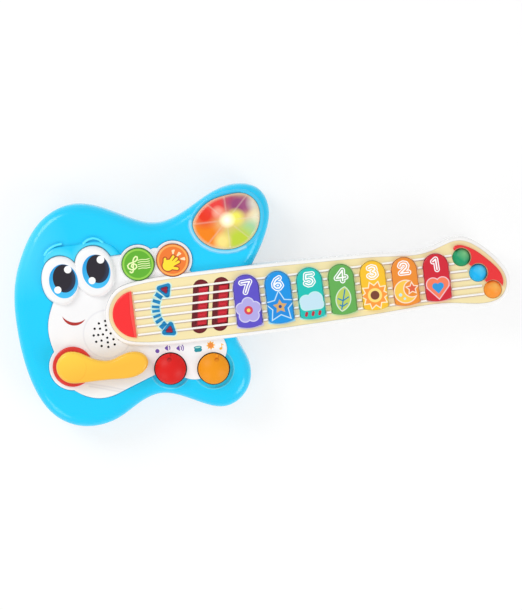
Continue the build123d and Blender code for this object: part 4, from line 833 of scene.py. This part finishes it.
# Lens: a frosted tinted shell with pools of colour round a bright middle, and a painted highlight along its
# low rim.
lens = {
    "light_lens": {"title": "tintedLens", "shade": (240, 200, 140), "roughness": 0.22, "coat": 0.1},
    "centre": (48.5, 67.5), "ridges": 8, "ridgeHalf": 0.4, "ridgeSoft": 1.4, "ridgeDepth": 0.0004,
    "ridgeStart": 7.0, "ridgeStartSoft": 6.0, "ridgeTint": (255, 232, 214), "ridgeCover": 0.34,
    "rimTop": 38.0, "rimHighlightInk": ((246, 222, 186), 1.5, 0.65),
    "poolShare": 0.8,
    "pools": [
        ((24, 57), 15, (246, 134, 0)), ((31, 57), 14, (246, 132, 0)), ((31, 74), 11, (236, 50, 14)),
        ((42, 82), 12, (238, 62, 58)), ((52, 84), 7, (206, 78, 96)), ((59, 79), 11, (152, 66, 118)),
        ((66, 79), 7, (160, 80, 126)), ((74, 79), 8, (222, 216, 200)), ((74, 66), 9, (242, 236, 200)),
        ((66, 58), 9, (166, 216, 172)), ((57, 50), 14, (192, 214, 56)), ((43, 51), 7, (252, 230, 134)),
        ((56, 69), 7, (244, 238, 96)), ((42, 75), 5, (252, 168, 146)),
    ],
    "glow": (48.6, 67.8, 2.8), "glowSoft": 8.96, "glowTint": (255, 255, 236),
    "lamp": (255, 236, 190), "lampCover": 0.8,
}


def paintLens(tint, point, surface):
    for centre, radius, shade in lens["pools"]:
        reach = radius * lens["poolShare"]
        tint = inked(tint, disc(point, *centre, reach), shade, reach)
    wedge = folded(point, *lens["centre"], lens["ridges"])
    ridge = inside(axisOf(wedge, 1) - lens["ridgeHalf"], lens["ridgeSoft"])
    ridge = ridge * inside(lens["ridgeStart"] - axisOf(wedge, 0), lens["ridgeStartSoft"])
    surface["relief"] = ridge * lens["ridgeDepth"]
    tint = mixed(tint, ridge * lens["ridgeCover"], colour(*lens["ridgeTint"]))
    # Painted highlight on the low rim of the lens.
    tint = inked(tint, surface["height"] - lens["rimTop"], *lens["rimHighlightInk"])
    glow = inside(disc(point, *lens["glow"]), lens["glowSoft"])
    surface["emission"] = mixed(colour(0, 0, 0), glow * lens["lampCover"], colour(*lens["lamp"]))
    return mixed(tint, glow, colour(*lens["glowTint"]))


finish("light_lens", paintLens, **lens["light_lens"])
print("lens painted")

# Inner works, seen when a part is lifted off.
innerWorks = {
    "masks": {"shade": (24, 108, 62), "roughness": 0.35, "coat": 0.3},
    "boards": ("key_board", "button_board", "control_board", "light_board", "main_board"),
    "groups": {
        "Black": {"shade": (26, 26, 28), "roughness": 0.5},
        "Steel": {"shade": (186, 188, 194), "roughness": 0.3, "metallic": 1.0},
        "Silicone": {"shade": (206, 212, 218), "roughness": 0.55},
    },
    "members": {
        "Black": ("strum_tray", "speaker_frame", "main_board_parts", "volume_switch", "mode_switch"),
        "Steel": ("bead_pins", "strum_springs", "whammy_spring", "battery_contacts"),
        "Silicone": ("key_domes", "button_domes", "key_ribbon"),
    },
    "singles": {
        "light_reflector": {"title": "whiteReflector", "shade": (240, 240, 240), "roughness": 0.2},
        "light_leds": {"title": "clearLamps", "shade": (255, 244, 214), "roughness": 0.1, "coat": 0.5},
        "speaker_cone": {"title": "paperCone", "shade": (36, 36, 40), "roughness": 0.85},
        "speaker_magnet": {"title": "magnetPlate", "shade": (92, 92, 98), "roughness": 0.4, "metallic": 0.8},
        "wiring_harness": {"title": "redLeads", "shade": (196, 44, 40), "roughness": 0.45},
    },
    "battery_cells": {"title": "cellJackets", "shade": (52, 66, 96), "roughness": 0.3, "coat": 0.4},
    "traceScale": 220.0, "traceHalf": 0.06, "traceInk": ((70, 156, 92), 0.04, 0.5),
    "cellBand": (-3.2, 16.0), "cellBandInk": ((214, 176, 92), 0.3),
}


def paintBoard(tint, point, surface):
    sockets = {"Vector": surface["spot"], "Scale": innerWorks["traceScale"]}
    traces = point.node("ShaderNodeTexVoronoi", {"feature": "DISTANCE_TO_EDGE"}, sockets)
    return inked(tint, traces - innerWorks["traceHalf"], *innerWorks["traceInk"])


def paintCell(tint, point, surface):
    middle, half = innerWorks["cellBand"]
    return inked(tint, abs(axisOf(point, 0) - middle) - half, *innerWorks["cellBandInk"])


for name in innerWorks["boards"]:
    finish(name, paintBoard, title=name + "Mask", **innerWorks["masks"])
for kind, members in innerWorks["members"].items():
    for name in members:
        finish(name, title=name + kind, **innerWorks["groups"][kind])
for name, single in innerWorks["singles"].items():
    finish(name, **single)
finish("battery_cells", paintCell, **innerWorks["battery_cells"])
print("inner works coloured")

# Screws: a cross recess is sunk into each outer head by shade and relief.
screws = {
    "zinc": {"shade": (186, 188, 194), "roughness": 0.28, "metallic": 1.0},
    "arm": 1.3, "armHalf": 0.36, "crossSoft": 0.3, "crossDepth": 0.0005,
    "crossShade": (52, 52, 56), "crossCover": 0.8,
    "crosses": {
        "body_screws": [
            (-70.0, 84.0), (-122.0, -5.0), (-95.0, -74.0), (-36.0, -63.5),
            (42.0, -68.0), (8.0, 62.5), (60.0, 37.5), (-111.0, 56.0),
        ],
        "door_screws": [(-34.65, 0.0), (28.25, 0.0)],
        "neck_screws": [(38.0, 15.0), (38.0, -15.0)],
    },
    "plain": ("board_screws", "speaker_screws"),
}


def crossPaint(centres):
    arm = screws["arm"]
    level = [[(x - arm, y), (x + arm, y)] for x, y in centres]
    upright = [[(x, y - arm), (x, y + arm)] for x, y in centres]

    def paint(tint, point, surface):
        cross = joined([stroke(point, line, screws["armHalf"]) for line in level + upright])
        mask = inside(cross, screws["crossSoft"])
        surface["relief"] = mask * -screws["crossDepth"]
        return mixed(tint, mask * screws["crossCover"], colour(*screws["crossShade"]))

    return paint


for name, centres in screws["crosses"].items():
    finish(name, crossPaint(centres), title=name + "Zinc", **screws["zinc"])
for name in screws["plain"]:
    finish(name, title=name + "Zinc", **screws["zinc"])
print("screws finished")

# Studio: a white floor, an even sky and soft lamps off to the sides, so that flat faces mirror none of them.
studio = {
    "floorSize": 4.0, "floor": (255, 255, 255), "floorLift": 0.62, "floorDrop": 0.0002, "floorTouch": 0.001,
    "speckle": {"Scale": 40.0, "Detail": 2.0}, "speckleTint": (244, 244, 246), "speckleCover": 0.02,
    "world": (255, 255, 255), "worldStrength": 0.65,
    "lamps": {
        "upperLeftBox": {"spot": (-1.0, 1.0, 1.1), "size": 0.9, "power": 10.5},
        "lowerRightBox": {"spot": (1.1, -1.0, 1.0), "size": 0.9, "power": 8.5},
        "lowerLeftBox": {"spot": (-1.1, -1.0, 0.9), "size": 0.8, "power": 4.0},
    },
}


# 1 where the camera sees a surface directly, in a gloss or through a clear piece.
def seenDirectly(start):
    kinds = ("Is Camera Ray", "Is Glossy Ray", "Is Transmission Ray")
    seen = [start.node("ShaderNodeLightPath", None, None, kind) for kind in kinds]
    return seen[0] & seen[1] & seen[2]


# The floor shows from above only and lets light up to what rests on it, so that the underside can be
# looked at as well.
def floorShader():
    made = bpy.data.materials.new("paleFloor")
    made.use_nodes = True
    made.node_tree.nodes.clear()
    ground = Wire(made.node_tree)
    speckle = ground.node("ShaderNodeTexNoise", None, studio["speckle"])
    tint = mixed(colour(*studio["floor"]), speckle * studio["speckleCover"], colour(*studio["speckleTint"]))
    plain = ground.node("ShaderNodeBsdfDiffuse", None, {"Color": tint})
    bright = ground.node("ShaderNodeEmission", None, {"Color": colour(*studio["floor"])})
    lift = seenDirectly(ground) * studio["floorLift"]
    lifted = ground.node("ShaderNodeMixShader", None, {0: lift, 1: plain, 2: bright})
    reach = ground.node("ShaderNodeLightPath", None, None, "Ray Length")
    touching = ground.maths("LESS_THAN", reach, studio["floorTouch"])
    below = touching & ground.node("ShaderNodeNewGeometry", None, None, "Backfacing")
    clear = ground.node("ShaderNodeBsdfTransparent")
    oneSided = ground.node("ShaderNodeMixShader", None, {0: below, 1: lifted, 2: clear})
    ground.node("ShaderNodeOutputMaterial", None, {"Surface": oneSided})
    return made


def placed(name, data):
    made = bpy.data.objects.new(name, data)
    bpy.context.collection.objects.link(made)
    return made


floorMesh = bpy.data.meshes.new("studioFloor")
half = studio["floorSize"] / 2
corners = [(x * half, y * half, -studio["floorDrop"]) for x, y in ((-1, -1), (1, -1), (1, 1), (-1, 1))]
floorMesh.from_pydata(corners, [], [(0, 1, 2, 3)])
floorMesh.materials.append(floorShader())
placed("studioFloor", floorMesh)

for name, lamp in studio["lamps"].items():
    lampData = bpy.data.lights.new(name, "AREA")
    lampData.shape = "DISK"
    lampData.size = lamp["size"]
    lampData.energy = lamp["power"]
    box = placed(name, lampData)
    box.location = lamp["spot"]
    box.rotation_euler = (-Vector(lamp["spot"])).to_track_quat("-Z", "Y").to_euler()

world = bpy.data.worlds.new("studioWorld")
bpy.context.scene.world = world
world.use_nodes = True
world.node_tree.nodes.clear()
sky = Wire(world.node_tree)
strength = seenDirectly(sky) * (1 - studio["worldStrength"]) + studio["worldStrength"]
glow = sky.node("ShaderNodeBackground", None, {"Color": colour(*studio["world"]), "Strength": strength})
sky.node("ShaderNodeOutputWorld", None, {"Surface": glow})
print("studio lit")

# Camera: almost straight above the face, turned so that the neck rises to the right.
camera = {
    "target": (67.9, -5.0, 36.0), "roll": 6.82, "tilt": 4.0,
    "distance": 2.6, "viewHeight": 0.5002, "farEnd": 20.0,
}
roll, tilt = radians(camera["roll"]), radians(camera["tilt"])
back = Vector((0, sin(tilt), cos(tilt)))
right = Vector((cos(roll), -sin(roll), 0))
right = (right - back * right.dot(back)).normalized()
turned = Matrix((right, back.cross(right), back)).transposed().to_4x4()
turned.translation = place(*camera["target"]) + back * camera["distance"]
cameraData = bpy.data.cameras.new("studioCamera")
cameraData.lens = cameraData.sensor_width * camera["distance"] / camera["viewHeight"]
cameraData.clip_end = camera["farEnd"]
cameraObject = placed("studioCamera", cameraData)
cameraObject.matrix_world = turned
bpy.context.scene.camera = cameraObject
bpy.context.scene.view_settings.view_transform = "Standard"
print("camera placed")
